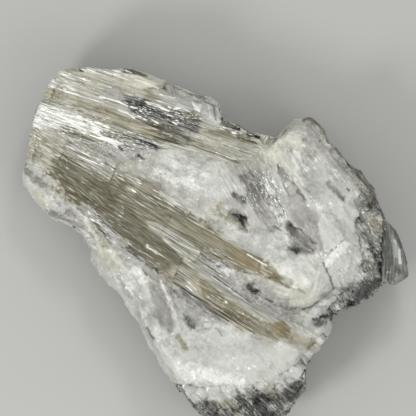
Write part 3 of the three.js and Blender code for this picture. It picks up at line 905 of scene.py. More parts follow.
MATRIX_MARKS = table(
    # white crust that runs out over the rind and over the shale
    GREY, (308, 124, 350, 176, 13, 0.22), (236, 384, 306, 364, 17, 0.08),
    TAN, (308, 124, 350, 176, 13, 0.05),
    WHITE, (236, 382, 300, 364, 14, 0.4),
    # milky pool between the upper fan and the spear
    WHITE, (130, 158, 225, 192, 17, 0.5), (158, 172, 196, 186, 6, 0.85),
    (180, 200, 228, 218, 7, 0.55),
    TAN, (120, 162, 160, 182, 7, 0.25), (168, 174, 180, 178, 3, 0.3),
    GREY, (112, 144, 148, 158, 8, 0.3),
    CREAM, (176, 196, 220, 214, 8, 0.5),
    # wedge pit
    TAN, (222, 210, 242, 224, 7, 0.62),
    GREY, (226, 212, 240, 222, 6, 0.4), (234, 214, 246, 219, 1.49, 1),
    (240, 218, 244, 227, 1.36, 1), (244, 226, 248, 233, 0.74, 0.7),
    (236, 196, 244, 200, 3.4, 0.72),
    # lobe round the tip of the spear
    Patch(((262, 250), (280, 247), (296, 256), (308, 262), (318, 272), (325, 284), (316, 297),
           (304, 305), (292, 305), (282, 300), (272, 292), (258, 272)),
          {WHITE: 0.6, PLAIN: 0.6}, 0.3, 2.0),
    CREAM, (258, 270, 302, 296, 14, 0.75),
    WHITE, (280, 264, 302, 280, 6, 0.85), (246, 232, 280, 256, 7, 0.6),
    # the grey line along the crease under the lobe is painted shade
    GREY, (282, 304, 292, 308, 1.05, 0.85), (292, 308, 308, 308, 0.99, 0.8),
    (308, 308, 320, 300, 0.99, 0.75), (320, 300, 334, 288, 1.36, 0.5),
    # grey mass under the spear
    GREY, (205, 262, 276, 306, 15, 0.36), (252, 296, 292, 322, 12, 0.4),
    (249, 285, 256, 291, 3, 1), (226, 283, 240, 296, 0.99, 0.85), (258, 295, 272, 301, 0.99, 0.8),
    (206, 276, 228, 292, 0.99, 0.6),
    WHITE, (218, 266, 238, 276, 7, 0.6),
    # sparkling grey zone with steep streaks
    GREY, (244, 152, 262, 168, 12, 0.22),
    TAN, (246, 148, 262, 166, 9, 0.3),
    Patch(((243, 168), (258, 170), (268, 178), (276, 200), (284, 225), (270, 232), (256, 216),
           (246, 196)), {GREY: 0.46, SPARK: 0.6}, -0.2, 2.5),
    GREY, (246, 178, 258, 194, 6, 0.7),
    Patch(((277, 166), (284, 170), (291, 184), (300, 192), (306, 200), (309, 214), (303, 222),
           (296, 212), (288, 196), (281, 180)), {GREY: 0.34, PLAIN: 0.6}, -0.5),
    GREY, (278, 166, 286, 178, 2.4, 0.6), (286, 178, 300, 192, 0.8, 0.7),
    (280, 207, 282, 210, 1, 1), (281, 214, 284, 217, 1, 1), (276, 198, 284, 214, 0.87, 0.85),
    (274, 226, 282, 230, 1.24, 0.8),
    WHITE, (266, 180, 284, 220, 3.2, 0.85), (272, 204, 290, 240, 3.5, 0.7),
    (240, 214, 276, 244, 7, 0.5),
    # hollow
    Patch(((303, 206), (318, 212), (320, 240), (323, 252), (317, 252), (314, 240), (303, 230),
           (292, 222), (291, 210)), {GREY: 0.42, PLAIN: 0.7}, -0.2, 2.2),
    Patch(((289, 222), (295, 229), (303, 233), (309, 237), (314, 242), (316, 248), (314, 253),
           (306, 253), (297, 251), (292, 247), (290, 238), (288, 230)),
          {GREY: 0.46, PLAIN: 0.7}, -1.2, 2.2),
    GREY, (289, 226, 304, 240, 3.5, 0.7), (292, 234, 312, 250, 1.2, 0.75),
    (294, 242, 308, 252, 1, 0.65), (288, 224, 300, 230, 0.87, 0.85),
    (300, 230, 315, 244, 0.81, 0.75), (291, 249, 297, 251, 2.8, 0.95),
    (296, 191, 304, 199, 0.87, 0.8),
    WHITE, (297, 234, 314, 247, 0.8, 0.4), (293, 238, 304, 248, 0.8, 0.3),
    # cream band and right upper whites
    CREAM, (264, 142, 282, 164, 9, 0.8), (280, 160, 294, 184, 5, 0.5),
    (276, 132, 300, 142, 8, 0.7),
    Patch(((292, 150), (300, 152), (303, 164), (299, 170), (292, 162)), {WHITE: 0.9}, 0.2),
    Patch(((312, 126), (322, 130), (333, 148), (330, 152), (318, 142)),
          {WHITE: 0.6, PLAIN: 0.5}, 0.2),
    Patch(((306, 166), (316, 160), (330, 176), (340, 196), (336, 204), (320, 202),
           (310, 186)), {PLAIN: 0.5, GREY: 0.14}, 0.0, 1.6),
    WHITE, (268, 146, 290, 166, 5, 0.5), (316, 128, 328, 146, 5, 0.6),
    (318, 156, 344, 182, 7, 0.5), (296, 160, 306, 170, 3, 0.8), (316, 204, 321, 208, 1.36, 1),
    TAN, (286, 142, 292, 148, 4, 0.22),
    GREY, (284, 128, 306, 120, 6, 0.25), (306, 142, 310, 156, 5, 0.45),
    (302, 160, 314, 196, 6, 0.3), (328, 184, 342, 199, 2.6, 0.6), (346, 189, 348, 191, 0.87, 0.9),
    Patch(((321, 212), (331, 214), (338, 224), (344, 238), (333, 248), (324, 252), (320, 240),
           (318, 224)), {WHITE: 0.5, PLAIN: 0.6, GREY: 0.0}, 0.35),
    Patch(((336, 260), (346, 252), (352, 258), (362, 272), (366, 284), (350, 290), (340, 284),
           (334, 272)), {GREY: 0.16, WHITE: 0.3, PLAIN: 0.4}, 0.2),
    Patch(((345, 239), (349.5, 244), (343, 252), (337, 258), (330, 266), (325, 267),
           (322, 261), (333, 249)), {WHITE: 1.05, GREY: 0.0, PLAIN: 0.0}, 0.5),
    GREY, (322, 262, 334, 288, 0.87, 0.75), (330, 216, 362, 250, 4, 0.25),
    WHITE, (336, 262, 368, 276, 11, 0.6), (312, 300, 340, 306, 6, 0.6),
    # dark rim and streaks at the right edge: brown rind, with painted shade along the rim and in
    # the notch below it
    Patch(((307, 114), (312, 112), (319, 119), (325, 123), (329, 129), (333, 136), (327, 138),
           (321, 131), (315, 127)), {TAN: 0.8, GREY: 0.5, PLAIN: 0.8}),
    GREY, (328, 135, 339, 150, 1.5, 1), (339, 150, 354, 168, 1.5, 1),
    TAN, (328, 135, 354, 168, 1.59, 0.8),
    Patch(((351, 163), (358, 162), (367, 170), (375, 180), (380, 190), (382, 200), (374, 199),
           (366, 189), (358, 179)), {TAN: 1.0, GREY: 0.62, PLAIN: 0.8}),
    GREY, (372, 197, 384, 214, 3, 0.9), (381, 206, 393, 226, 2.2, 0.85),
    (351, 168, 374, 198, 0.8, 0.8), (356, 202, 386, 232, 5, 0.6), (360, 184, 378, 200, 3, 0.4),
    (374, 204, 384, 213, 4, 1), (358, 218, 376, 232, 3, 0.85), (366, 234, 386, 274, 9, 0.55),
    (348, 292, 384, 284, 9, 0.85), (312, 318, 318, 320, 2, 1), (320, 316, 336, 314, 1.6, 1),
    (318, 323, 334, 322, 3.4, 0.75),
    WHITE, (352, 190, 370, 206, 4, 0.5), (322, 319, 330, 319, 0.8, 0.8),
    (316, 332, 332, 336, 3, 0.7),
    CREAM, (374, 219, 382, 230, 6, 1),
    TAN, (372, 222, 381, 229, 5, 0.7),
    # left lobe
    GREY, (24, 152, 60, 200, 12, 0.12), (24, 168, 44, 186, 3.4, 0.62),
    (36, 176, 60, 206, 1.49, 0.5), (46, 212, 70, 222, 3, 0.6), (70, 212, 88, 236, 5, 0.5),
    CREAM, (34, 194, 46, 212, 5, 0.9),
    TAN, (36, 194, 44, 206, 4, 0.25),
    WHITE, (50, 196, 62, 212, 4, 0.5), (84, 216, 92, 232, 4, 0.6),
    # lower left band
    CREAM, (98, 250, 116, 266, 9, 0.4),
    Patch(((97, 250), (104, 246), (113, 252), (120, 262), (112, 268), (103, 266)),
          {CREAM: 0.9, PLAIN: 0.3}, 0.4, 1.5),
    WHITE, (96, 252, 150, 276, 8, 0.6), (104, 262, 150, 312, 8, 0.25),
    (112, 270, 130, 288, 5, 0.75), (134, 268, 144, 282, 4, 0.8),
    GREY, (108, 266, 146, 306, 7, 0.2), (136, 260, 158, 278, 5, 0.5),
    Patch(((140, 261), (147, 265), (156, 275), (159, 281), (150, 277), (142, 270)),
          {GREY: 0.95}, -0.6),
    GREY, (118, 276, 132, 298, 1.4, 0.5), (104, 274, 122, 296, 2, 0.45),
    (132, 292, 144, 306, 3, 0.35), (122, 250, 140, 264, 4, 0.3),
    Patch(((150, 282), (160, 284), (168, 300), (176, 322), (172, 332), (160, 322),
           (154, 304)), {GREY: 0.5, TAN: 0.32, PLAIN: 0.5}, -0.6, 2.5),
    Patch(((158, 275), (163, 279), (172, 297), (179, 318), (182, 332), (177, 330), (170, 306),
           (161, 288)), {WHITE: 0.6, GREY: 0.05}, 0.35, 1.4),
    GREY, (180, 290, 216, 314, 9, 0.48), (180, 296, 206, 316, 0.9, 0.6),
    (176, 290, 184, 312, 1.2, 0.5), (188, 319, 192, 325, 2.7, 1), (183, 314, 195, 328, 1, 0.7),
    (178, 306, 200, 322, 6, 0.3), (198, 330, 209, 328, 1.2, 0.35), (209, 328, 216, 321, 1.2, 0.4),
    (216, 327, 222, 335, 0.9, 0.5), (94, 266, 132, 316, 1.59, 0.6), (136, 318, 160, 362, 3, 0.4),
    (146, 328, 154, 338, 1.4, 0.7),
    WHITE, (184, 292, 202, 304, 2, 0.4), (190, 331, 204, 336, 1.2, 0.6),
    TAN, (178, 336, 186, 348, 2.6, 0.7),
    Patch(((146, 318), (153, 315), (160, 320), (162, 330), (156, 338), (148, 334),
           (144, 326)), {WHITE: 0.5, PLAIN: 0.5}, 0.6, 1.2),
    WHITE, (143, 312, 146, 326, 1.2, 0.9),
    # white fibrous zone at the bottom
    WHITE, (180, 348, 296, 356, 22, 0.35), (190, 374, 236, 384, 11, 0.95),
    (176, 366, 196, 388, 8, 0.8),
    GREY, (196, 356, 260, 350, 5, 0.12), (300, 336, 322, 356, 5, 0.2),
    (184, 400, 240, 399, 3, 0.4), (240, 399, 264, 391, 3, 0.4),
    PLAIN, (190, 352, 296, 362, 26, 0.65), (262, 262, 312, 290, 18, 0.55),
    (300, 232, 352, 226, 14, 0.35),
)

SHALE_MARKS = table(
    # bottom end, from left to right
    GREY, (190, 410, 300, 408, 12, 0.74), (196, 408, 216, 412, 8, 0.72),
    (194, 404, 203, 416, 1.6, 1), (210, 400, 217, 412, 2, 0.9), (222, 404, 238, 411, 5, 0.5),
    (226, 409, 238, 410, 2.2, 1), (237, 398, 252, 414, 3, 0.8), (237, 396, 246, 405, 1, 1),
    WHITE, (197, 402, 206, 414, 0.8, 0.8), (204, 403, 212, 415, 0.7, 0.6),
    (227, 399, 235, 408, 0.9, 0.7), (239, 402, 250, 416, 0.9, 0.8),
    (243, 394, 257, 410, 2.2, 0.8, 0.6), (256, 404, 259, 410, 0.7, 0.7),
    (271, 405, 281, 416, 1.6, 0.6), (278, 408, 286, 416, 1, 0.5), (287, 406, 294, 412, 3, 0.6),
    TAN, (222, 404, 238, 411, 6, 0.75),
    Patch(((255, 396), (266, 396), (272, 403), (275, 416), (262, 416), (256, 407)),
          {GREY: 1.0, TAN: 0.0, SPARK: 0.2}, -0.3, 2.0),
    TAN, (270, 387, 284, 398, 4.5, 0.6),
    GREY, (270, 387, 284, 398, 4.5, 0.4), (267, 394, 274, 404, 1.3, 0.9),
    (276, 393, 282, 408, 1.4, 1), (272, 406, 284, 416, 4, 0.5), (282, 401, 290, 404, 3, 0.66),
    (287, 408, 294, 412, 4, 0.35),
    Patch(((287, 386), (294, 381), (301, 379), (304, 385), (305.5, 390), (302, 394), (297, 398),
           (297, 405), (288, 399), (284, 392)), {GREY: 0.95, SPARK: 0.35}, 0.2, 1.5),
    GREY, (302.5, 374, 303.5, 385, 1.3, 1), (303.5, 385, 305.5, 390, 1.3, 1),
    (305, 390, 296.5, 398, 1.3, 1), (289, 392, 298, 396, 1.4, 1),
    # right end
    GREY, (366, 200, 384, 232, 8, 0.7), (374, 204, 384, 213, 5, 1), (374, 219, 383, 231, 7, 0.1),
    (372, 197, 384, 214, 3, 1), (381, 206, 393, 226, 2.2, 0.9), (368, 236, 388, 278, 12, 0.5),
    (362, 232, 380, 256, 1.2, 0.9), (372, 246, 382, 276, 3, 0.85), (368, 242, 384, 268, 0.8, 0.9),
    WHITE, (362, 196, 374, 212, 3, 0.5), (372, 240, 386, 262, 0.87, 0.75),
    (376, 236, 386, 250, 0.8, 0.7), (366, 244, 378, 270, 0.8, 0.8), (364, 252, 374, 276, 0.8, 0.6),
    CREAM, (374, 219, 383, 231, 7, 1),
    TAN, (372, 222, 382, 229, 5, 0.66),
    # dark notch under the right edge: dark shale, deepened with painted shade
    Patch(((340, 310), (349, 300), (356, 295), (361, 285), (372, 279), (385, 276), (389, 280),
           (384, 289), (374, 295), (366, 301), (356, 306), (346, 311)),
          {GREY: 0.94, TAN: 0.35, WHITE: 0.0, PLAIN: 0.4}, -0.2, 0.9),
    GREY, (358, 292, 386, 279, 2.4, 1), (346, 306, 366, 298, 1.6, 1), (376, 290, 388, 280, 2.4, 1),
    WHITE, (366, 292, 373, 286, 1, 0.3), (352, 286, 360, 284, 1.2, 0.6),
    (364, 289, 368, 288, 1, 0.6),
    # white crust that hangs down over the lower shale
    Patch(((176, 380), (232, 384), (240, 393), (232, 398), (220, 401), (206, 399), (196, 402),
           (188, 406), (176, 394)), {GREY: 0.1, WHITE: 0.4, TAN: 0.0, CREAM: 0.1}, 0.0, 2.6),
    WHITE, (226, 390, 238, 404, 1.4, 0.7), (244, 388, 252, 399, 1.2, 0.7),
    (262, 380, 274, 392, 1.2, 0.6),
    GREY, (226, 390, 236, 402, 1.4, 0.2), (244, 386, 250, 396, 1.4, 0.25),
    (236, 390, 246, 402, 1, 0.9), (252, 386, 262, 398, 1, 0.9),
)

SLAB_MARKS = table(
    GREY, (382, 226, 389, 276, 5, 0.7), (384, 228, 392, 250, 1.2, 0.9),
    (388, 246, 394, 272, 1.2, 0.7), (384, 246, 390, 268, 1.6, 0.8), (386, 212, 402, 246, 2.5, 0.6),
    (403, 244, 410, 274, 1.4, 0.5), (394, 268, 406, 274, 3, 0.45),
    # the first three white marks are a painted reflection; the other two are pale streaks
    WHITE, (394, 240, 399, 250, 1.2, 0.8), (399, 250, 400, 263, 1.5, 1.1),
    (396, 246, 396, 256, 2.6, 0.5), (390, 236, 392, 250, 1, 0.4), (389, 262, 393, 277, 1.6, 0.35),
)

# Where painted glints are strewn, with dark specks between them: start, end, half width, strength
# and, for some, taper, in squares.
SPARK_MARKS = table(
    SPARK, (36, 110, 84, 122, 12, 0.8, 0.5), (34, 122, 70, 132, 8, 0.7, 0.5),
    (56, 84, 120, 104, 9, 0.35), (84, 122, 120, 146, 10, 0.75), (134, 108, 188, 120, 9, 0.85),
    (120, 134, 160, 146, 6, 0.75), (112, 120, 138, 128, 5, 0.1), (204, 96, 218, 116, 8, 0.3),
    (224, 124, 262, 140, 7, 0.9), (190, 134, 250, 158, 9, 0.45), (66, 132, 118, 166, 12, 0.6),
    (100, 140, 146, 158, 8, 0.8), (28, 140, 62, 158, 12, 0.4), (156, 172, 200, 188, 6, 0.8),
    (186, 180, 212, 190, 5, 0.6), (268, 176, 290, 240, 7, 0.9), (262, 150, 284, 178, 6, 0.5),
    (244, 190, 268, 222, 8, 0.6), (218, 266, 240, 278, 8, 0.8), (236, 284, 290, 312, 10, 0.6),
    (322, 256, 348, 246, 7, 1), (312, 200, 324, 210, 4, 0.9), (352, 196, 384, 226, 9, 0.5),
    (350, 290, 386, 280, 10, 0.5), (364, 240, 386, 276, 10, 0.5), (94, 250, 140, 330, 7, 0.55),
    (124, 300, 160, 362, 6, 0.5), (30, 160, 60, 200, 10, 0.35), (180, 314, 224, 336, 8, 0.5),
    (196, 408, 300, 404, 12, 0.3), (214, 300, 262, 322, 7, 0.45),
)

# Bright reflections: start, end and half width of each, in squares.
GLINTS = (
    (160, 94.8, 176, 98, 0.9), (148, 103.6, 157, 105.4, 1.9), (157, 105.6, 169, 111.6, 1.2),
    (154, 108.6, 155, 109.2, 0.9), (161, 109, 163, 110, 0.8), (169, 107.5, 171, 108.5, 1),
    (174, 109.6, 180, 108.6, 1.1), (176, 113, 180, 114.4, 0.6), (178, 116, 184, 118, 0.6),
    (119, 111, 127, 113.4, 1.1), (127, 113.4, 135, 118.6, 1), (138, 116.5, 142, 118, 0.6),
    (144, 119.5, 147, 121, 0.7), (152, 120, 155, 121.5, 0.6), (156, 122.5, 158.5, 124, 0.7),
    (100, 97, 119, 102, 0.8), (119, 102, 128, 107, 0.8), (131, 107.5, 138, 108.6, 0.9),
    (173, 123, 177, 124.8, 1.1), (100, 134, 103, 139, 1.2), (103, 139, 111, 141, 1.4),
    (110, 141, 116, 145, 1.6), (126, 70.6, 131, 73, 0.9), (94, 129, 99, 132, 2),
    (70, 118, 86, 130, 1.8), (98, 84, 112, 88, 0.7), (188, 281.5, 197, 289.5, 0.45),
    (186, 285, 192, 290, 0.4), (281, 279, 296, 288, 0.8), (247, 254, 266, 265, 0.7),
    (137, 182, 142, 184, 0.5), (133, 190, 136, 192, 0.8), (147, 244, 149, 246, 0.5),
    (89, 251, 90, 254, 1), (93, 259, 94, 262, 0.9), (98, 264, 99, 266, 0.7),
    (118, 286, 120, 289, 1), (121, 270, 123, 273, 0.9), (161, 281, 163, 285, 1),
    (154, 270, 157, 274, 0.8), (270, 206, 274, 214, 0.9), (276, 214, 279, 222, 0.8),
    (266, 184, 269, 191, 0.8), (316, 204, 320, 208, 1.2), (233, 270, 235, 272, 0.8),
    (226, 268, 229, 270, 0.7), (344, 240, 347, 245, 0.8), (326, 259, 333, 256, 0.8),
    (160, 177, 168, 180, 0.8), (172, 181, 178, 183, 1), (188, 177, 194, 180, 0.8),
    (36, 120, 60, 126, 0.9), (40, 112, 66, 119, 0.9), (42, 106, 58, 110, 0.7),
    (60, 90, 78, 96, 0.7), (48, 84, 56, 87, 0.8), (90, 98, 100, 102, 0.7),
)
GLINT_MARKS = tuple(
    mark for *line, half in GLINTS
    for tone, width, strength in ((SPARK, 1.4, 0), (GREY, 1, 0.1), (WHITE, 1, 1.4))
    for mark in table(tone, (*line, width * half, strength)))

STEPS = (
    Step((66, 149), (58, 163), 0.45, 30),
    Step((121, 161), (111, 181), 0.6, 34),
    Step((121, 89), (118, 101), 0.4, 14),
    Step((203, 247), (196, 261), 0.5, 26),
    Step((184, 256), (172, 281), 0.6, 40),
    Step((194, 122), (186, 146), 0.4, 34),
    Step((134, 112), (128, 126), 0.3, 20),
    Step((160, 186), (156, 200), 0.3, 22),
    Step((238, 300), (226, 326), 0.35, 30),
    Step((88, 130), (82, 144), 0.3, 20),
    Step((172, 214), (160, 236), 0.3, 34),
)

# Where a fan sinks into the matrix at its end: start, end and half width, in squares.
FADING_ENDS = (
    ((262, 266), (288, 282), 22),
    ((288, 331), (304, 340), 24),
)

# Swells of the whole face, and the ridges and creases on the matrix.
FACE_LIFTS = (Fold(((302, 336), (328, 354)), 13, 4.2),)

FACE_FOLDS = (
    Fold(((282, 303), (292, 308), (307, 308), (320, 300), (334, 288)), 3.0, -1.0),
    Fold(((322, 262), (335, 288)), 1.8, -0.5),
    Fold(((232, 213), (245, 218), (243, 227)), 3.0, -1.4),
    Fold(((237, 197), (243, 200)), 3.5, -0.9),
    Fold(((249, 285), (256, 291)), 3.0, -1.2),
    Fold(((226, 283), (240, 296)), 1.8, -0.5),
    Fold(((258, 295), (272, 301)), 1.8, -0.5),
    Fold(((287, 222), (300, 230), (314, 243)), 1.6, -0.6),
    Fold(((291, 249), (297, 251)), 3.0, -0.8),
    Fold(((187, 318), (193, 325)), 3.0, -1.1),
    Fold(((198, 330), (209, 328), (216, 321)), 2.2, -0.25),
    Fold(((139, 156), (144, 160)), 2.0, -0.7),
    Fold(((119, 147), (123, 150)), 2.0, -0.6),
    Fold(((328, 184), (342, 199)), 2.4, -0.6),
    Fold(((272, 204), (292, 244)), 5.0, 0.6),
    Fold(((374, 220), (382, 230)), 6.0, 0.7),
    Fold(((172, 276), (190, 298), (228, 322)), 2.6, -0.9),
    Fold(((296, 191), (304, 199)), 1.6, -0.4),
    Fold(((307, 341), (314, 345)), 4.0, 1.2),
)

FACE_MARKS = (MATRIX_MARKS + UPPER_MARKS + CENTRAL_MARKS + LOWER_MARKS + SHALE_MARKS
              + SPARK_MARKS + GLINT_MARKS)

# Tones of each part of the face under its marks.
GROUND_TONES = {
    "upper_crystal_spray": {TAN: 0.2},
    "central_crystal_spray": {TAN: 0.42},
    "lower_crystal_spray": {TAN: 0.55},
    "lower_shale": {GREY: 0.8},
    "side_shale": {GREY: 0.55},
}


def faded(squares: Array) -> Array:
    """Tells how far the fans have sunk into the matrix at their ends.

    Args:
        squares: Places in squares, one a row.

    Returns:
        One number a place, from 0 to 1.
    """
    total = np.zeros(len(squares))
    for start, end, half in FADING_ENDS:
        ahead, side, span = paced(squares, start, end)
        within = smooth(0, span, ahead) * smooth(5 * span, 3.5 * span, ahead)
        total = np.maximum(total, within * smooth(half, 0.7 * half, np.abs(side)))
    return total


def plainness(squares: Array) -> Array:
    """Tells how smooth the surface is.

    Args:
        squares: Places in squares, one a row.

    Returns:
        One number a place, from 0 to 1.
    """
    marks = tuple(mark for mark in FACE_MARKS
                  if isinstance(mark, Patch) or mark.tone is PLAIN)
    start = {tone: np.zeros(len(squares)) for tone in Tone}
    return painted(marks, (squares, squares), start, np.zeros(len(squares)))[PLAIN]


def stepped(squares: Array) -> Array:
    """Heights of crisp areas and of layers that end in cliffs, in millimetres.

    Args:
        squares: Places in squares, one a row.

    Returns:
        One height a place.
    """
    total = np.zeros(len(squares))
    for patch in FACE_MARKS:
        if isinstance(patch, Patch) and patch.lift:
            total += patch.lift * patch.cover(squares)
    for step in STEPS:
        ahead, back, span = paced(squares, step.start, step.end)
        within = smooth(-1.0, 0.6, ahead) * smooth(span + 1.0, span - 0.6, ahead)
        total += step.height * within * smooth(-0.35, 0.35, back) * np.exp(
            -np.maximum(back, 0) / step.length)
    return total


# ---------------------------------------------------------------- mesh helpers


def only(*objects: Thing) -> None:
    """Selects some objects and nothing else.

    Args:
        objects: The objects, of which the first becomes the active one.
    """
    bpy.ops.object.select_all(action="DESELECT")
    for item in objects:
        item.select_set(True)
    bpy.context.view_layer.objects.active = objects[0]


@contextmanager
def editing(piece: Thing, select: str | None = None) -> Iterator[None]:
    """Opens a mesh for editing, and closes it again.

    Args:
        piece: The mesh object.
        select: SELECT for all of it, DESELECT for none, or None to leave what is selected.
    """
    only(piece)
    bpy.ops.object.mode_set(mode="EDIT")
    if select:
        bpy.ops.mesh.select_all(action=select)
    yield
    bpy.ops.object.mode_set(mode="OBJECT")


def vectors(items: bpy.types.bpy_prop_collection, name: str) -> Array:
    """A vector that a mesh keeps for each of its corners or faces, one a row."""
    found = np.empty(len(items) * 3, np.float32)
    items.foreach_get(name, found)
    return found.reshape(-1, 3)


def get_places(piece: Thing) -> Array:
    """Places of a mesh's corners in millimetres, one a row."""
    return vectors(piece.data.vertices, "co").astype(float) / MM


def set_places(piece: Thing, places: Array) -> None:
    """Moves a mesh's corners to places given in millimetres."""
    piece.data.vertices.foreach_set("co", (places * MM).astype(np.float32).ravel())
    piece.data.update()


def get_normals(piece: Thing) -> Array:
    """Directions in which a mesh's corners face, one a row."""
    return vectors(piece.data.vertices, "normal").astype(float)


def set_number(piece: Thing, name: str, values: Array) -> None:
    """Writes one number a corner as a named attribute."""
    layer = piece.data.attributes.new(name, "FLOAT", "POINT")
    layer.data.foreach_set("value", values.astype(np.float32))


def set_vector(piece: Thing, name: str, values: Array) -> None:
    """Writes three numbers a corner as a named attribute."""
    layer = piece.data.attributes.new(name, "FLOAT_VECTOR", "POINT")
    layer.data.foreach_set("vector", values.astype(np.float32).ravel())


def copy_of(node: Thing, name: str, swell: float) -> Thing:
    """Copies a CAD node as one closed mesh.

    Args:
        node: The node, which stays as it is.
        name: Name of the copy.
        swell: How far its faces are moved outwards, in millimetres.

    Returns:
        The copy.
    """
    piece = node.copy()
    piece.data = node.data.copy()
    piece.parent = None
    for key in list(piece.keys()):
        del piece[key]
    piece.name = piece.data.name = name
    piece.data.materials.clear()
    bpy.context.scene.collection.objects.link(piece)
    with editing(piece, "SELECT"):
        bpy.ops.mesh.remove_doubles(threshold=WELD * MM)
    if swell:
        set_places(piece, get_places(piece) + swell * get_normals(piece))
    return piece


def modify(piece: Thing, kind: str, **settings: object) -> None:
    """Changes a mesh for good.

    Args:
        piece: The mesh object.
        kind: Type of the modifier.
        settings: Attributes of the modifier.
    """
    only(piece)
    modifier = piece.modifiers.new(kind, kind)
    for name, value in settings.items():
        setattr(modifier, name, value)
    bpy.ops.object.modifier_apply(modifier=modifier.name)


def remesh(piece: Thing, voxel: float) -> None:
    """Makes a mesh anew from even faces whose side is voxel millimetres."""
    modify(piece, "REMESH", mode="VOXEL", voxel_size=voxel * MM)


def soften(piece: Thing, rounds: int) -> None:
    """Rounds a mesh off: each corner moves half way to its neighbours, rounds times."""
    modify(piece, "SMOOTH", factor=0.5, iterations=rounds)


def divide(piece: Thing, chosen: Array) -> None:
    """Divides chosen faces of a mesh in four.

    Args:
        piece: The mesh object.
        chosen: One truth value a face.
    """
    with editing(piece, "DESELECT"):
        bpy.ops.mesh.select_mode(type="FACE")
    piece.data.polygons.foreach_set("select", chosen)
    with editing(piece):
        bpy.ops.mesh.subdivide(number_cuts=1)


def shade(piece: Thing, degrees: float) -> None:
    """Shades a mesh smooth, but for edges sharper than an angle."""
    only(piece)
    bpy.ops.object.shade_smooth_by_angle(angle=math.radians(degrees))


def triangles(piece: Thing) -> int:
    """Number of triangles in a mesh."""
    return sum(len(face.vertices) - 2 for face in piece.data.polygons)


# ---------------------------------------------------------------- finishes


CRYSTAL_IOR = 1.55  # how strongly the crystal bends light


def linear(red: float, green: float, blue: float) -> tuple[float, float, float, float]:
    """Turns a colour as it looks on a screen into a shader's colour.

    Args:
        red: Its red, from 0 to 255.
        green: Its green.
        blue: Its blue.

    Returns:
        The colour's four channels.
    """
    def bend(value: float) -> float:
        """Undoes the screen's curve for one channel."""
        value /= 255
        return value / 12.92 if value <= 0.04045 else ((value + 0.055) / 1.055) ** 2.4
    return (bend(red), bend(green), bend(blue), 1.0)


class Web:
    """A node tree with short ways to add nodes and join them."""

    def __init__(self, tree: bpy.types.NodeTree) -> None:
        """Keeps the tree."""
        self.tree = tree

    def feed(self, node: bpy.types.Node, values: dict[str | int, object]) -> None:
        """Joins a node's inputs to other sockets, or sets their values.

        Args:
            node: The node.
            values: A socket or a value for each input, by its name or number.
        """
        for key, value in values.items():
            if isinstance(value, Socket):
                self.tree.links.new(value, node.inputs[key])
            else:
                node.inputs[key].default_value = value

    def add(self, kind: str, inputs: dict[str | int, object] | None = None,
            **settings: object) -> bpy.types.Node:
        """Adds a node.

        Args:
            kind: Node type without its ShaderNode prefix.
            inputs: What its inputs are fed with.
            settings: Attributes of the node.

        Returns:
            The node.
        """
        made = self.tree.nodes.new("ShaderNode" + kind)
        for name, value in settings.items():
            setattr(made, name, value)
        self.feed(made, inputs or {})
        return made

    def surface(self, values: dict[str, object]) -> None:
        """Adds the material's shader, with what its inputs are fed with, and its output."""
        shader = self.add("BsdfPrincipled", values)
        self.add("OutputMaterial", {"Surface": shader.outputs["BSDF"]})

    def read(self, name: str, output: str = "Fac") -> Socket:
        """Reads an attribute of the piece."""
        return self.add("Attribute", attribute_name=name).outputs[output]

    def math(self, operation: str, a: object, b: object = 0.0, clamp: bool = False) -> Socket:
        """Adds one calculation, kept between 0 and 1 with clamp, and returns its socket."""
        return self.add("Math", {0: a, 1: b}, operation=operation, use_clamp=clamp).outputs[0]

    def mix(self, share: object, a: object, b: object, blend: str = "MIX") -> Socket:
        """Mixes two colours by a share, in the way that blend names, and returns the socket."""
        made = self.add("Mix", {"Factor": share, 6: a, 7: b}, data_type="RGBA", blend_type=blend)
        return made.outputs[2]

    def weighted(self, *parts: tuple[object, float]) -> Socket:
        """Adds up values, each times its own weight.

        Args:
            parts: A value or socket and its weight, any number of times.

        Returns:
            The sum's socket.
        """
        total = None
        for value, weight in parts:
            term = self.math("MULTIPLY", value, weight)
            total = term if total is None else self.math("ADD", total, term)
        return total

    def blend(self, share: object, a: object, b: object) -> Socket:
        """Mixes two numbers by a share, and returns the result's socket."""
        return self.add("Mix", {"Factor": share, 2: a, 3: b}, data_type="FLOAT").outputs[0]

    def leaning(self, tilt: object, amount: float) -> Socket:
        """Turns the surface's normal by a tilt times an amount, and returns the new one."""
        normal = self.add("NewGeometry").outputs["Normal"]
        return self.vector("NORMALIZE", self.vector("MULTIPLY_ADD", tilt, (amount,) * 3, normal))

    def vector(self, operation: str, *terms: object) -> Socket:
        """Adds one calculation with vectors, and returns the result's socket."""
        return self.add("VectorMath", dict(enumerate(terms)), operation=operation).outputs[0]

    def noise(self, vector: object, scale: float, detail: float,
              roughness: float = 0.55) -> Socket:
        """Adds a noise texture, and returns its value's socket."""
        return self.add("TexNoise", {"Vector": vector, "Scale": scale, "Detail": detail,
                                     "Roughness": roughness}).outputs["Fac"]

    def spread(self, value: object, low: float, high: float, start: float = 0.0,
               end: float = 1.0) -> Socket:
        """Stretches a range of values to another, kept within it, and returns the socket."""
        return self.add("MapRange", {"Value": value, "From Min": low, "From Max": high,
                                     "To Min": start, "To Max": end}, clamp=True).outputs["Result"]


def new_material(name: str) -> tuple[bpy.types.Material, Web]:
    """Starts a material without nodes.

    Args:
        name: Its name.

    Returns:
        The material and a web on it.
    """
    material = bpy.data.materials.new(name)
    material.use_nodes = True
    material.node_tree.nodes.clear()
    return material, Web(material.node_tree)


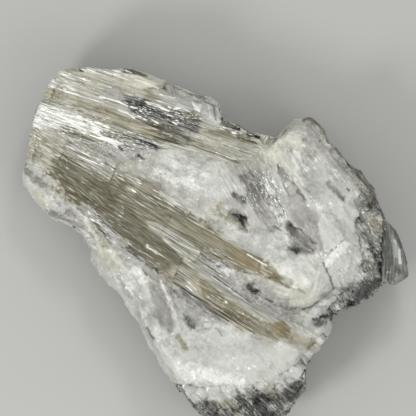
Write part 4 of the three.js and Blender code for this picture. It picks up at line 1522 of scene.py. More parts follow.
def new_group(name: str, entry: str, numbers: tuple[str, ...]) -> tuple[
        Web, Socket, bpy.types.Node]:
    """Starts a shader node group that turns a vector into numbers and a tilt.

    Args:
        name: Its name.
        entry: Name of its input, the vector.
        numbers: Names of the outputs that are numbers.

    Returns:
        A web on the group, the vector's socket and the group's output node.
    """
    group = bpy.data.node_groups.new(name, "ShaderNodeTree")
    group.interface.new_socket(entry, in_out="INPUT", socket_type="NodeSocketVector")
    for label in numbers:
        group.interface.new_socket(label, in_out="OUTPUT", socket_type="NodeSocketFloat")
    group.interface.new_socket("Tilt", in_out="OUTPUT", socket_type="NodeSocketVector")
    start = group.nodes.new("NodeGroupInput")
    return Web(group), start.outputs[entry], group.nodes.new("NodeGroupOutput")


def cell_tilt(web: Web, vector: object) -> tuple[Socket, Socket]:
    """Splits the surface into cells, each with its own level and its own tilt.

    Args:
        web: Where the nodes are added.
        vector: Places scaled so that a cell is about one across.

    Returns:
        Sockets of the level, from 0 to 1, and of the tilt, a vector whose parts lie within 0.5.
    """
    colour = web.add("TexVoronoi", {"Vector": vector, "Scale": 1.0}, feature="F1").outputs["Color"]
    level = web.add("SeparateColor", {"Color": colour}).outputs["Red"]
    return level, web.vector("SUBTRACT", colour, (0.5, 0.5, 0.5))


def fibre_group() -> bpy.types.NodeTree:
    """Fine streaks that run along the fibres, in three sizes, and blades with snapped ends."""
    web, fibre, leave = new_group("fibre streaks", "Fibre",
                                  ("Broad", "Fine", "Hair", "Blade", "Glitter"))
    for label, scale, detail, low in (
            ("Broad", (0.04, 0.6, 0.25), 2.0, 0.0), ("Fine", (0.07, 1.9, 0.5), 2.0, 0.0),
            ("Hair", (0.13, 3.1, 1.2), 1.6, 0.0), ("Glitter", (0.85, 3.3, 0.9), 2.0, -1.0)):
        value = web.noise(web.vector("MULTIPLY", fibre, scale), 1.0, detail)
        web.feed(leave, {label: web.spread(value, 0.3, 0.7, low)})
    level, tilt = cell_tilt(web, web.vector("MULTIPLY", fibre, (0.3, 2.3, 0.5)))
    web.feed(leave, {"Blade": level, "Tilt": tilt})
    return web.tree


def grain_group() -> bpy.types.NodeTree:
    """Grains of broken crystal: soft clouds, fine roughness and small faces."""
    web, place, leave = new_group("broken grain", "Place",
                                  ("Cloud", "Rough", "Facet", "Glitter"))
    level, tilt = cell_tilt(web, web.vector("MULTIPLY", place, (1500.0, 1500.0, 1500.0)))
    web.feed(leave, {
        "Cloud": web.spread(web.noise(place, 260.0, 3.0), 0.3, 0.7),
        "Rough": web.spread(web.noise(place, 1900.0, 3.0, 0.6), 0.28, 0.72),
        "Glitter": web.spread(web.noise(place, 2600.0, 2.0), 0.3, 0.7, -1.0),
        "Facet": level, "Tilt": tilt})
    return web.tree


class Groups:
    """The shader node groups that several finishes use, each built once."""

    def __init__(self) -> None:
        """Builds the groups."""
        self.fibre = fibre_group()
        self.grain = grain_group()

    def fibre_node(self, web: Web) -> bpy.types.Node:
        """Adds the streaks to a material, laid along the piece's fibres."""
        fibre = web.read("fibre", "Vector")
        return web.add("Group", {"Fibre": fibre}, node_tree=self.fibre)

    def grain_node(self, web: Web) -> bpy.types.Node:
        """Adds the broken grain to a material."""
        place = web.add("TexCoord").outputs["Object"]
        return web.add("Group", {"Place": place}, node_tree=self.grain)


@dataclass(frozen=True)
class MineralFinish:
    """Finish of the stone's own surfaces, mixed from the tones that are painted on them."""

    name: str
    snow: tuple[float, float, float] = (203, 204, 199)
    shade: tuple[float, float, float] = (171, 173, 170)
    tan_light: tuple[float, float, float] = (166, 162, 143)
    tan_deep: tuple[float, float, float] = (90, 86, 65)
    gold: tuple[float, float, float] = (136, 123, 84)
    cream: tuple[float, float, float] = (206, 205, 189)
    grey_light: tuple[float, float, float] = (149, 148, 142)
    grey_deep: tuple[float, float, float] = (40, 40, 37)
    # colour of white fibres and of the painted glints
    white: tuple[float, float, float] = (246, 247, 242)
    roughness: float = 0.55
    gloss: float = 0.3  # roughness of the white silk
    streak: float = 0.6  # how strongly the fibres show in the colour
    speckle: float = 0.4  # how strongly grey patches break up into grains
    relief: float = 0.09  # height of the finest relief in millimetres
    lean: float = 0.6  # how far grains and blades lean out of the surface
    silk: float = 0.35  # how metallic the white silk looks
    bright: float = 0.45  # how far bright lines and grains stand out
    wet: float = 0.8  # how strong the glassy gloss is
    milk: float = 0.45  # how far light goes through the stone

    def build(self, groups: Groups) -> bpy.types.Material:
        """Makes the material.

        Args:
            groups: The shared node groups.

        Returns:
            The material.
        """
        material, web = new_material(self.name)
        fibre, grain = groups.fibre_node(web), groups.grain_node(web)
        fibrous, silk = web.read("fibrous"), web.read("silk")
        tones = {tone: web.read(tone.value) for tone in Tone}

        line = web.weighted((fibre.outputs["Broad"], 0.06), (fibre.outputs["Fine"], 0.18),
                            (fibre.outputs["Hair"], 0.56), (silk, 0.20))
        clumps = web.weighted((grain.outputs["Cloud"], 0.45), (grain.outputs["Rough"], 0.35),
                              (silk, 0.20))
        wear = web.blend(fibrous, web.spread(clumps, 0.26, 0.74),
                         web.math("POWER", web.spread(line, 0.28, 0.74), 1.2))
        wear = web.blend(web.math("MULTIPLY", tones[PLAIN], 0.75), wear, 0.5)

        base = web.mix(web.spread(wear, 0.1, 0.9), linear(*self.shade), linear(*self.snow))
        base = web.mix(web.math("MULTIPLY", tones[WHITE], 0.6), base, linear(*self.snow))
        base = web.mix(tones[CREAM], base, linear(*self.cream))
        tan = self._broken(web, tones[TAN], wear, -self.streak)
        base = web.mix(web.math("MULTIPLY", tan, 2.0, clamp=True), base, linear(*self.tan_light))
        base = web.mix(web.spread(tan, 0.5, 1.0), base, linear(*self.tan_deep))
        gold = web.math("MULTIPLY", tones[GOLD], web.spread(wear, 0.2, 0.8, 0.9, 0.35))
        base = web.mix(gold, base, linear(*self.gold))
        spark = web.math("MULTIPLY", tones[SPARK],
                         web.blend(fibrous, grain.outputs["Glitter"], fibre.outputs["Glitter"]))
        grey = self._broken(web, tones[GREY], wear, -self.speckle)
        base = web.mix(web.math("MULTIPLY", grey, 2.0, clamp=True), base,
                       linear(*self.grey_light), "DARKEN")
        base = web.mix(web.spread(grey, 0.45, 1.0), base, linear(*self.grey_deep))
        level = web.blend(fibrous, grain.outputs["Facet"], fibre.outputs["Blade"])
        white = web.spread(web.weighted((tones[WHITE], 1.0), (wear, 0.62), (level, 0.28)),
                           0.95, 1.4)
        base = web.mix(web.math("MULTIPLY", white, self.bright), base, linear(*self.white))
        # painted glints: where the spark tone is strong, grains or blades turn white, with dark
        # specks between them
        base = web.mix(web.spread(spark, -0.15, -0.6, 0.0, self.speckle), base,
                       linear(*self.grey_deep))
        glint = web.spread(spark, 0.26, 0.5)
        base = web.mix(glint, base, linear(*self.white))

        normal = web.leaning(self._tilt(web, fibrous, grain, fibre), self.lean)
        ribs = web.weighted((fibre.outputs["Fine"], 0.6), (fibre.outputs["Hair"], 0.4))
        bump = web.add("Bump", {
            "Strength": 1.0, "Distance": self.relief * MM, "Normal": normal,
            "Height": web.blend(fibrous, grain.outputs["Rough"], ribs)})

        gloss = web.math("MULTIPLY", white, self.gloss - self.roughness)
        wet = web.spread(web.weighted((level, 0.6), (wear, 0.4)), 0.4, 0.7)
        web.surface({
            "Base Color": base, "Metallic": web.math("MULTIPLY", glint, self.silk),
            "Roughness": web.math("ADD", gloss, self.roughness), "Normal": bump.outputs["Normal"],
            "IOR": CRYSTAL_IOR, "Coat Weight": web.math("MULTIPLY", wet, self.wet),
            "Coat Roughness": 0.14, "Subsurface Weight": self.milk,
            "Subsurface Radius": (1.0, 0.95, 0.8), "Subsurface Scale": 1.2 * MM})
        return material

    @staticmethod
    def _tilt(web: Web, fibrous: Socket, grain: bpy.types.Node,
              fibre: bpy.types.Node) -> Socket:
        """Tilt of the grains or, where the surface is fibrous, of the blades."""
        return web.add("Mix", {"Factor": fibrous, 4: grain.outputs["Tilt"],
                               5: fibre.outputs["Tilt"]}, data_type="VECTOR").outputs[1]

    @staticmethod
    def _broken(web: Web, tone: Socket, wear: Socket,
                amount: float) -> Socket:
        """Breaks a tone up where it is present.

        Args:
            web: Where the nodes are added.
            tone: How much of the tone there is.
            wear: The pattern of the fibres and grains.
            amount: How strongly the pattern shows through.

        Returns:
            The socket of the broken tone.
        """
        swing = web.math("MULTIPLY", web.math("SUBTRACT", wear, 0.5), amount)
        share = web.math("MULTIPLY", swing, web.spread(tone, 0.0, 0.35))
        return web.math("ADD", tone, share, clamp=True)


@dataclass(frozen=True)
class SlabFinish:
    """Finish of the glassy slab: clear grey crystal with fine upright streaks."""

    name: str = "glassy grey slab"
    tint: tuple[float, float, float] = (158, 160, 154)
    deep: tuple[float, float, float] = (84, 86, 82)
    # colour of pale streaks and of the painted reflection
    pale: tuple[float, float, float] = (226, 229, 224)
    roughness: float = 0.26
    relief: float = 0.16  # height of the streaks' relief in millimetres
    clear: float = 0.3  # how much light goes through

    def build(self, groups: Groups) -> bpy.types.Material:
        """Makes the material.

        Args:
            groups: The shared node groups.

        Returns:
            The material.
        """
        material, web = new_material(self.name)
        fibre = groups.fibre_node(web)
        white, grey = web.read(WHITE.value), web.read(GREY.value)
        line = web.weighted((fibre.outputs["Broad"], 0.25), (fibre.outputs["Fine"], 0.35),
                            (fibre.outputs["Hair"], 0.2), (fibre.outputs["Blade"], 0.2))
        tint = web.mix(web.spread(web.weighted((line, 1.0), (grey, -0.5)), 0.15, 0.62),
                       linear(*self.deep), linear(*self.tint))
        tint = web.mix(web.spread(web.weighted((line, 0.6), (white, 1.0)), 0.6, 1.1), tint,
                       linear(*self.pale))
        bump = web.add("Bump", {"Distance": self.relief * MM, "Height": line})
        web.surface({"Base Color": tint, "Normal": bump.outputs["Normal"],
                     "Roughness": self.roughness, "Transmission Weight": self.clear,
                     "IOR": CRYSTAL_IOR})
        return material


# ---------------------------------------------------------------- sub-assemblies


@dataclass
class Specimen:
    """What the pieces are built from: the solids, their maps and the shared node groups."""

    nodes: dict[str, Thing]
    low: Array  # lowest corner of the whole piece in millimetres
    high: Array  # highest corner
    gap: float = 0.02  # millimetres that pieces stay inside these
    outline: Outline = field(default_factory=lambda: Outline(RIM))
    groups: Groups = field(default_factory=Groups)

    def __post_init__(self) -> None:
        """Measures the face."""
        self.face = FaceMap(self.nodes, self.outline)

    def kept_inside(self, places: Array) -> Array:
        """Places moved back to the box of the whole piece where they would leave it."""
        return np.clip(places, self.low + self.gap, self.high - self.gap)

    def spray_share(self, places: Array) -> Array:
        """How much of the face round each place is crystal blades, from 0 to 1."""
        return np.sum([self.face.share_at(name, places) for name in SPRAY_NODES], axis=0)

    def dress(self, piece: Thing, start: dict[Tone, Array],
              frame: tuple[Array, ...] | None, fibrous: Array,
              silk: Array | None = None) -> None:
        """Paints the marks and writes the fibre directions on a piece.

        Args:
            piece: The mesh object.
            start: Amount of each tone away from the face and under its marks.
            frame: Fibre direction, distance along and distance across, or None for the matrix's.
            fibrous: How strongly the fibres show, one number a corner.
            silk: How milky each blade is, with a painted sheen, or None where there are no blades.
        """
        places = get_places(piece)
        direction, along, across = frame or fibre_frame(places[:, :2])[:3]
        squares = streaked_places(places[:, :2], direction, along, across,
                                  *((0.3, 0.2) if silk is None else (0.06, 1.0)))
        grid = np.stack([along, across], axis=1)
        eaten = (0.5 * noise(grid, (1.3, 0.9), 81) + 0.4 * noise(grid, (0.6, 0.4), 82)
                 if silk is None else
                 0.5 * noise(grid, (5.0, 0.5), 81) + 0.5 * noise(grid, (2.5, 0.25), 82))
        eaten *= 1 - 0.8 * plainness(squares[1])
        under = self.face.height_at(places[:, :2]) - places[:, 2]
        over = smooth(5.2, 2.4, under + 1.2 * noise(places, 2.2, 83))
        ground = from_squares(squares[0])
        for name, amounts in GROUND_TONES.items():
            share = over * smooth(0.35, 0.7, self.face.share_at(name, ground) - 0.3 * eaten)
            for tone, amount in amounts.items():
                start[tone] = start[tone] + (amount - start[tone]) * share
        tones = painted(FACE_MARKS, squares, start, eaten)
        for tone in Tone:
            amount = start[tone] + (tones[tone] - start[tone]) * over
            set_number(piece, tone.value, np.clip(amount, 0, 1))
        set_number(piece, "fibrous", fibrous)
        set_number(piece, "silk", 0.5 + 0.5 * noise(places, 1.2, 77) if silk is None else silk)
        set_vector(piece, "fibre", np.stack([along, across, places[:, 2]], axis=1))


def plain_tones(count: int, **amounts: Array | float) -> dict[Tone, Array]:
    """Starting amounts of the tones.

    Args:
        count: Number of corners.
        amounts: Amounts by the tone's name in lower case, the rest being none.

    Returns:
        An array for each tone.
    """
    return {tone: np.zeros(count) + amounts.get(tone.value, 0.0) for tone in Tone}


@dataclass
class Matrix:
    """The white fibrous matrix: sides, back and all of the face between the fans."""

    voxel: float = 0.65  # side of its faces before the crystal face is divided
    swell: float = 0.65  # how far the beds of the fans reach into it
    sink: float = 1.9  # how far it lies under the fans' surface
    lumps: float = 0.35  # heights of its broad lumps
    knobs: float = 0.28  # of its small faces
    fibres: float = 0.16  # of its fibres
    grit: float = 0.1  # and of its finest roughness
    hewn: float = 0.7  # of the broad faces on its sides and back
    crease: float = 40.0  # degrees from which an edge looks sharp

    def build(self, stone: Specimen) -> Thing:
        """Builds and dresses the piece.

        Args:
            stone: The specimen.

        Returns:
            The finished piece.
        """
        piece = copy_of(stone.nodes["white_matrix"], "matrix_rock", 0.0)
        fans = [copy_of(stone.nodes[name], name + "_bed", self.swell) for name in SPRAY_NODES]
        only(piece, *fans)
        bpy.ops.object.join()
        remesh(piece, self.voxel)
        soften(piece, 3)
        divide(piece, self._face_side(piece, stone))
        soften(piece, 2)
        self._shape(piece, stone)
        shade(piece, self.crease)
        self._dress(piece, stone)
        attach(piece, BODY)
        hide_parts("white_matrix")
        return piece

    def _face_side(self, piece: Thing, stone: Specimen) -> Array:
        """Finds the faces on the crystal side that no fan covers.

        Args:
            piece: The mesh object.
            stone: The specimen.

        Returns:
            One truth value a face.
        """
        centres = vectors(piece.data.polygons, "center") / MM
        normals = vectors(piece.data.polygons, "normal")
        share = stone.spray_share(centres[:, :2])
        return (normals[:, 2] > 0.35) & (centres[:, 2] > 15) & (share < 0.75)

    def _shape(self, piece: Thing, stone: Specimen) -> None:
        """Gives the surface its folds, lumps, small faces and fibres.

        Args:
            piece: The mesh object.
            stone: The specimen.
        """
        places, normals = get_places(piece), get_normals(piece)
        flat = places[:, :2]
        upper = smooth(11, 16, places[:, 2])
        facing = smooth(0.1, 0.6, normals[:, 2]) * upper
        share = stone.spray_share(flat)
        depth, _ = stone.outline.measure(flat)
        level = smooth(1.5, 3.5, depth) * smooth(-0.3, 0.1, normals[:, 2])
        level *= smooth(0.01, 0.12, share) * smooth(10.0, 12.5, places[:, 2])
        places[:, 2] += (stone.face.height_at(flat) - places[:, 2]) * level
        buried = smooth(0.62, 0.85, share) * smooth(12.5, 15.5, places[:, 2])
        buried *= 1 - faded(to_squares(flat))
        calm = 1 - 0.7 * plainness(to_squares(flat)) * upper
        _, along, across, _ = fibre_frame(flat)
        frame = np.stack([along, across, places[:, 2]], axis=1)
        rise = self.knobs * facets(places + 0.3 * noise(places, 0.8, 8)[:, None], 1.3, 9, 0.12)
        rise += self.fibres * facing * noise(frame, (5.0, 0.7, 3.0), 17)
        rise += self.grit * noise(places, 0.6, 19)
        rise = rise * calm + self.lumps * fractal(places, 3.2, 5)
        rise += (1 - upper) * self.hewn * facets(places, 5.5, 31)
        places += normals * (rise * (1 - 0.7 * buried) - self.sink * buried)[:, None]
        squares = to_squares(flat + 0.35 * np.stack(
            [noise(places, 1.4, 51), noise(places, 1.4, 52)], axis=1))
        places[:, 2] += (folded(FACE_FOLDS, squares) + stepped(squares)) * facing
        set_places(piece, stone.kept_inside(places))

    def _dress(self, piece: Thing, stone: Specimen) -> None:
        """Paints the piece and gives it its finish.

        Args:
            piece: The mesh object.
            stone: The specimen.
        """
        places = get_places(piece)
        cloud = fractal(places, 6.0, 61)
        back = smooth(14, 9, places[:, 2])
        start = plain_tones(
            len(places),
            grey=np.clip(0.11 + 0.2 * cloud + back * (0.12 + 0.3 * noise(places, 9.0, 63)), 0, 1),
            cream=np.clip(0.16 + 0.24 * noise(places, 8.0, 67), 0, 1),
            tan=np.clip(back * 0.35 * noise(places, 7.0, 68), 0, 1),
            white=np.clip(0.12 - 0.3 * cloud, 0, 1))
        stone.dress(piece, start, None, fibre_frame(places[:, :2])[3])
        piece.data.materials.append(MineralFinish("white fibrous matrix").build(stone.groups))


MIDDLE = np.array([0.0, 3.3])  # the place on the face that the stone's sides look away from

# Blades upon blades: width, length, step, slope to a side and share in the sheen, a painted sheen
# that makes blades tilted one way lighter.
BLADE_LAYERS = (
    (2.1, 26.0, 0.22, 0.18, 0.06), (0.95, 12.0, 0.12, 0.22, 0.12), (0.42, 6.0, 0.08, 0.46, 0.36),
)


@dataclass
class Spray:
    """One fan of silky blades, drawn from a start line to an end line across the face."""

    node: str
    name: str
    start: tuple[Pair, Pair]  # lower and upper end, millimetres
    end: tuple[Pair, Pair]
    reach: Pair  # shares of the length between which the blades are drawn
    seed: int
    strength: float = 1.0  # how strongly the blades lean to either side
    margin: float = 1.6  # how far its sides reach past the lines, under the matrix
    step_along: float = 0.26  # sides of the sheet's faces
    step_across: float = 0.135
    overlap: float = 0.1  # how far the blades stand above the solid's surface
    sink: float = 2.6  # how far the sheet dives where the fan ends
    seat: float = 12.8  # height of the fan's underside
    roll: float = 1.6  # width of the band along the rim where the blades roll over
    inset: float = 0.75  # how far the sheet lies inside the stone's side there
    taper: float = 1.4  # how far the underside is drawn in
    crease: float = 28.0  # degrees from which an edge looks sharp

    @property
    def length(self) -> float:
        """Length of the fan in millimetres."""
        return float(np.hypot(*(np.mean(self.end, axis=0) - np.mean(self.start, axis=0))))

    @property
    def width(self) -> float:
        """Mean width of the fan in millimetres."""
        spans = [np.hypot(*(np.array(line[1]) - line[0])) for line in (self.start, self.end)]
        return float(np.mean(spans))

    def build(self, stone: Specimen) -> Thing:
        """Builds and dresses the piece.

        Args:
            stone: The specimen.

        Returns:
            The finished piece.
        """
        columns = int(self.length * (self.reach[1] - self.reach[0]) / self.step_along)
        rows = int((self.width + 2 * self.margin) / self.step_across)
        bpy.ops.object.select_all(action="DESELECT")
        bpy.ops.mesh.primitive_grid_add(x_subdivisions=columns, y_subdivisions=rows, size=2)
        piece = bpy.context.object
        piece.name = piece.data.name = self.name
        sheet = len(piece.data.vertices)
        with editing(piece, "DESELECT"):
            bpy.ops.mesh.select_mode(type="EDGE")
            bpy.ops.mesh.select_non_manifold()
            bpy.ops.mesh.extrude_region_move()
            bpy.ops.mesh.edge_face_add()
        places, frame, silk = self._shape(piece, stone, sheet)
        set_places(piece, stone.kept_inside(places))
        with editing(piece, "SELECT"):
            bpy.ops.mesh.normals_make_consistent(inside=False)
        shade(piece, self.crease)
        start = plain_tones(len(places), cream=0.15)
        stone.dress(piece, start, frame, np.ones(len(places)), silk)
        finish = MineralFinish(self.name.replace("_", " "), streak=0.6, speckle=0.6, bright=1.0,
                               roughness=0.36, relief=0.07, lean=0.8, milk=0.06)
        piece.data.materials.append(finish.build(stone.groups))
        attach(piece, BODY)
        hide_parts(self.node)
        return piece

    def _shape(self, piece: Thing, stone: Specimen, sheet: int) -> tuple[
            Array, tuple[Array, ...], Array]:
        """Places of all corners, the fibre frame at each and how milky each is.

        Args:
            piece: The sheet as a flat square, with its underside after it.
            stone: The specimen.
            sheet: Number of corners of the sheet itself.

        Returns:
            Places, the frame (directions, distances along and across) and the milkiness with its
            painted sheen.
        """
        raw = get_places(piece) * MM
        u = self.reach[0] + (self.reach[1] - self.reach[0]) * (raw[:, 0] + 1) / 2
        v = 0.5 + (0.5 + self.margin / self.width) * raw[:, 1]
        start, end = np.array(self.start), np.array(self.end)
        low, high = (start[n] + u[:, None] * (end[n] - start[n]) for n in (0, 1))
        flat = low + v[:, None] * (high - low)
        direction = (end[0] - start[0]) * (1 - v[:, None]) + (end[1] - start[1]) * v[:, None]
        direction /= np.hypot(*direction.T)[:, None]
        along, across = u * self.length, v * self.width

        depth, foot = stone.outline.measure(flat)
        outside = depth < 0
        inward = MIDDLE - foot
        inward /= np.hypot(*inward.T)[:, None]
        wall = np.where(outside, -depth, 0.0)
        inner = np.where(outside[:, None], foot + self.roll * inward, flat)
        rise, silk = self._relief(along, across)
        own = stone.face.share_at(self.node, inner)
        share = stone.spray_share(inner)
        own = own / np.maximum(share, 0.05)
        frame = np.stack([along, across], axis=1)
        share = share + 0.16 * noise(frame, (8.0, 0.7), self.seed) + 0.1 * noise(
            frame, (3.0, 0.3), self.seed + 1)
        squares = to_squares(inner)
        cover = smooth(0.14, 0.34, share) * (1 - faded(squares))
        top = stone.face.height_at(inner)
        rise = rise * (1 - 0.65 * plainness(squares)) + stepped(squares)
        near_edge = np.clip(1 - np.where(outside, 0, depth) / self.roll, 0, 1)
        lift = (rise + self.overlap) * cover - self.sink * (1 - cover)
        lift -= 1.8 * smooth(0.55, 0.1, own)
        places = np.empty((len(flat), 3))
        sideways = np.where(outside, lift - self.inset, 0.0)
        places[:, :2] = np.where(outside[:, None], foot - inward * sideways[:, None], flat)
        drop = 1.3 * near_edge ** 2 + np.where(outside, wall * 1.15, 0.0)
        places[:, 2] = top - drop + np.where(outside, 0.15 * lift, lift)
        places[:, 2] = np.maximum(places[:, 2], self.seat + 0.4 + 0.8 * noise(
            frame, (4.0, 1.5), self.seed + 2))
        under = np.arange(len(flat)) >= sheet
        drawn = MIDDLE - places[under, :2]
        places[under, :2] += self.taper * drawn / np.hypot(*drawn.T)[:, None]
        places[under, 2] = self.seat
        return places, (direction, along, across), silk

    def _relief(self, along: Array, across: Array) -> tuple[Array, Array]:
        """Shapes the blades.

        Args:
            along: Distance along the fibres at each corner.
            across: Distance across them.

        Returns:
            Heights in millimetres, and how milky each corner is from 0 to 1, partly painted sheen.
        """
        rise = np.zeros(len(along))
        silk = np.full(len(along), 0.5)
        for n, (width, length, lift, slope, sheen) in enumerate(BLADE_LAYERS):
            level, tilt, side = blades(along, across, width, length, self.seed * 31 + 7 * n)
            rise += lift * level + self.strength * slope * width * tilt * side
            # painted sheen: blades that tilt one way are painted milkier
            silk += sheen * tilt
        frame = np.stack([along, across], axis=1)
        rise -= 0.3 * smooth(0.45, 0.75, noise(frame, (14.0, 0.6), self.seed + 5))
        return rise, np.clip(silk, 0, 1)


BROKEN_CREASE = 35.0  # degrees from which an edge of broken stone looks sharp


@dataclass
class Flank:
    """A piece of shale or rind, made from its solid with layers and broken faces added."""

    node: str
    name: str
    slot: str
    finish: MineralFinish
    grey: float
    tan: float = 0.0
    voxel: float = 0.4  # side of its faces
    layers: float = 0.7  # height of its layers, before crumble
    crumble: float = 0.9  # how strongly its broken faces stand out
    tuck: float = 1.0  # how far it reaches under the matrix beside it
    turn: float = 48.0  # direction of its layers, degrees below the line to the right
    seed: int = 200

    def build(self, stone: Specimen) -> Thing:
        """Builds and dresses the piece.

        Args:
            stone: The specimen.

        Returns:
            The finished piece.
        """
        piece = copy_of(stone.nodes[self.node], self.name, 0.0)
        remesh(piece, self.voxel)
        soften(piece, 3)
        places, normals = get_places(piece), get_normals(piece)
        depth, _ = stone.outline.measure(places[:, :2])
        places[:, :2] += normals[:, :2] * (self.tuck * smooth(0.6, 2.4, depth))[:, None]
        ahead, aside = heading(self.turn)
        along = places[:, :2] @ ahead
        across = places[:, :2] @ aside + 0.35 * places[:, 2]
        frame = np.stack([along, across, places[:, 2]], axis=1)
        rise = 0.3 * fractal(places, 3.0, self.seed)
        rise += 0.35 * facets(places, 2.2, self.seed + 2)
        rise += self.layers * facets(np.stack([frame[:, 0] * 0.2, frame[:, 1],
                                               frame[:, 2] * 0.3], axis=1), 0.9, self.seed + 4)
        places += normals * (rise * self.crumble)[:, None]
        set_places(piece, stone.kept_inside(places))
        shade(piece, BROKEN_CREASE)
        places = get_places(piece)
        directions = np.repeat(ahead[None, :], len(places), axis=0)
        start = plain_tones(
            len(places),
            grey=np.clip(self.grey + 0.35 * fractal(frame, (6.0, 1.2, 4.0), self.seed + 6), 0, 1),
            tan=self.tan,
            white=np.clip(noise(frame, (4.0, 0.6, 2.0), self.seed + 8) - 0.35, 0, 1) * 0.8)
        stone.dress(piece, start, (directions, along, across), np.full(len(places), 0.5))
        piece.data.materials.append(self.finish.build(stone.groups))
        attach(piece, BODY)
        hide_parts(self.node)
        return piece


@dataclass
class Slab:
    """The glassy slab at the right edge, with its edges worn round and upright streaks."""

    node: str = SLAB_NODE
    name: str = "slab_of_clear_crystal"
    voxel: float = 0.3  # side of its faces

    def build(self, stone: Specimen) -> Thing:
        """Builds and dresses the piece.

        Args:
            stone: The specimen.

        Returns:
            The finished piece.
        """
        piece = copy_of(stone.nodes[self.node], self.name, 0.1)
        remesh(piece, self.voxel)
        soften(piece, 1)
        places, normals = get_places(piece), get_normals(piece)
        reach = 1.1 + 1.3 * noise(places[:, 1:], 3.2, 303)
        places[:, 0] -= np.clip(reach, 0.2, 2.2) * smooth(0.2, -0.7, normals[:, 0])
        frame = np.stack([places[:, 1] * 0.25, places[:, 0], places[:, 2] * 0.4], axis=1)
        rise = 0.3 * facets(places, 4.0, 301) + 0.14 * facets(frame, 0.8, 305) - 0.1
        set_places(piece, stone.kept_inside(places + normals * rise[:, None]))
        shade(piece, BROKEN_CREASE)
        places = get_places(piece)
        bent = 0.9 * noise(places, 5.0, 311) + 0.3 * noise(places, 1.4, 312)
        set_vector(piece, "fibre", np.stack([places[:, 1], places[:, 0] + bent, places[:, 2]],
                                            axis=1))
        squares = to_squares(places[:, :2])
        tones = painted(SLAB_MARKS, (squares, squares), plain_tones(len(places)), 0.3 * bent)
        for tone in (WHITE, GREY):
            set_number(piece, tone.value, tones[tone] * smooth(12.0, 16.0, places[:, 2]))
        piece.data.materials.append(SlabFinish().build(stone.groups))
        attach(piece, BODY)
        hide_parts(self.node)
        return piece


# ---------------------------------------------------------------- stage


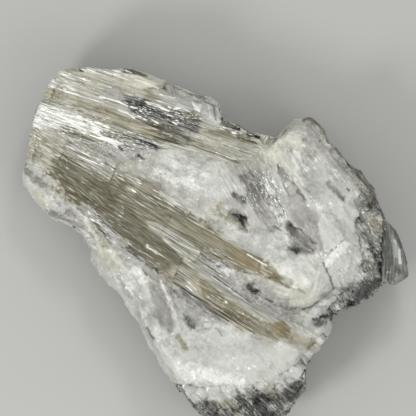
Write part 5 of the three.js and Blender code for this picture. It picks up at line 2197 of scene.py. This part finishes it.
@dataclass
class Studio:
    """Pale floor, soft lights and the camera that looks straight down on the face."""

    camera_height: float = 1.1  # metres above the middle of the face's heights
    face_level: float = 0.022
    view_width: float = 0.1123
    view_centre: Pair = (-0.002, 0.0106)
    sensor: float = 36.0

    def build(self) -> None:
        """Sets up the camera, the lights, the surroundings and the floor."""
        self._camera()
        self._floor()
        self._surroundings()
        self._softbox("key light", (-0.34, -0.26, 0.40), 0.14, 1.25)
        self._softbox("top light", (0.10, 0.36, 0.48), 0.11, 0.56)
        self._softbox("fill light", (0.42, -0.3, 0.55), 0.4, 1.0)
        bpy.context.scene.view_settings.view_transform = "Standard"

    def _camera(self) -> None:
        """Adds the camera, which sees view_width metres across at the face."""
        data = bpy.data.cameras.new("camera")
        data.sensor_width = self.sensor
        data.lens = self.sensor * self.camera_height / self.view_width
        data.clip_end = 20.0
        camera = bpy.data.objects.new("camera", data)
        camera.location = (*self.view_centre, self.face_level + self.camera_height)
        bpy.context.scene.collection.objects.link(camera)
        bpy.context.scene.camera = camera

    def _floor(self) -> None:
        """Lays the pale floor under the specimen."""
        bpy.ops.object.select_all(action="DESELECT")
        bpy.ops.mesh.primitive_plane_add(size=6.0, location=(0, 0, 0))
        floor = bpy.context.object
        floor.name = "floor"
        material = bpy.data.materials.new("pale floor")
        material.use_nodes = True
        shader = material.node_tree.nodes["Principled BSDF"]
        web = Web(material.node_tree)
        tone = web.noise(web.add("TexCoord").outputs["Object"], 9.0, 2.0)
        colour = web.mix(tone, linear(170, 170, 168), linear(178, 178, 176))
        web.feed(shader, {"Base Color": colour, "Roughness": 0.9})
        floor.data.materials.append(material)
        floor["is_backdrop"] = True

    @staticmethod
    def _surroundings() -> None:
        """Lights the scene evenly from all round."""
        world = bpy.data.worlds.new("studio")
        world.use_nodes = True
        ground = world.node_tree.nodes["Background"]
        ground.inputs["Color"].default_value = (1.0, 1.0, 0.985, 1.0)
        ground.inputs["Strength"].default_value = 0.74
        bpy.context.scene.world = world

    @staticmethod
    def _softbox(name: str, place: tuple[float, float, float], side: float,
                 power: float) -> None:
        """Adds a soft square light that faces the specimen.

        Args:
            name: Its name.
            place: Where it stands, in metres.
            side: Its side in metres.
            power: Its power in watts.
        """
        data = bpy.data.lights.new(name, "AREA")
        data.shape = "SQUARE"
        data.size = side
        data.energy = power
        light = bpy.data.objects.new(name, data)
        light.location = place
        light.rotation_euler = Vector(place).to_track_quat("Z", "Y").to_euler()
        light.visible_camera = False
        bpy.context.scene.collection.objects.link(light)


def main() -> None:
    """Builds the studio and the specimen's pieces in order."""
    logging.basicConfig(level=logging.INFO, format="%(name)s: %(message)s")
    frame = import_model()
    cad_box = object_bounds()
    Studio().build()
    low, high = (np.array(corner) / MM for corner in cad_box)
    stone = Specimen(nodes=frame["nodes"], low=low, high=high)
    makers = (
        Matrix(),
        Spray("upper_crystal_spray", "upper_blades", ((-53.6, 32.2), (-53.6, 59.6)),
              ((16.0, 8.1), (16.0, 36.2)), (-0.17, 1.05), 3, 1.2),
        Spray("central_crystal_spray", "central_blades", ((-55.0, 23.8), (-55.0, 41.6)),
              ((27.0, -21.8), (27.0, -10.7)), (-0.13, 1.03), 5, 0.7),
        Spray("lower_crystal_spray", "lower_blades", ((-48.1, 11.1), (-44.4, 26.5)),
              ((30.4, -38.0), (30.4, -25.6)), (-0.06, 1.02), 7, 0.75),
        Flank("lower_shale", "lower_shale_rock", "grey_shale",
              MineralFinish("grey shale", roughness=0.5, speckle=0.9, milk=0.0), 0.74),
        Flank("side_shale", "side_shale_rock", "grey_shale",
              MineralFinish("dark side shale", roughness=0.45, grey_deep=(42, 45, 43),
                            speckle=0.9, milk=0.0), 0.6, turn=58.0, seed=230),
        Flank("brown_rind", "brown_rind_rock", "brown_rind",
              MineralFinish("brown rind", roughness=0.6, tan_deep=(96, 92, 82),
                            speckle=0.7, milk=0.0), 0.6, tan=0.8, crumble=0.35, turn=52.0,
              seed=260),
        Slab(),
    )
    for maker in makers:
        piece = maker.build(stone)
        log.info("%s: %d triangles", piece.name, triangles(piece))


if __name__ == "__main__":
    main()
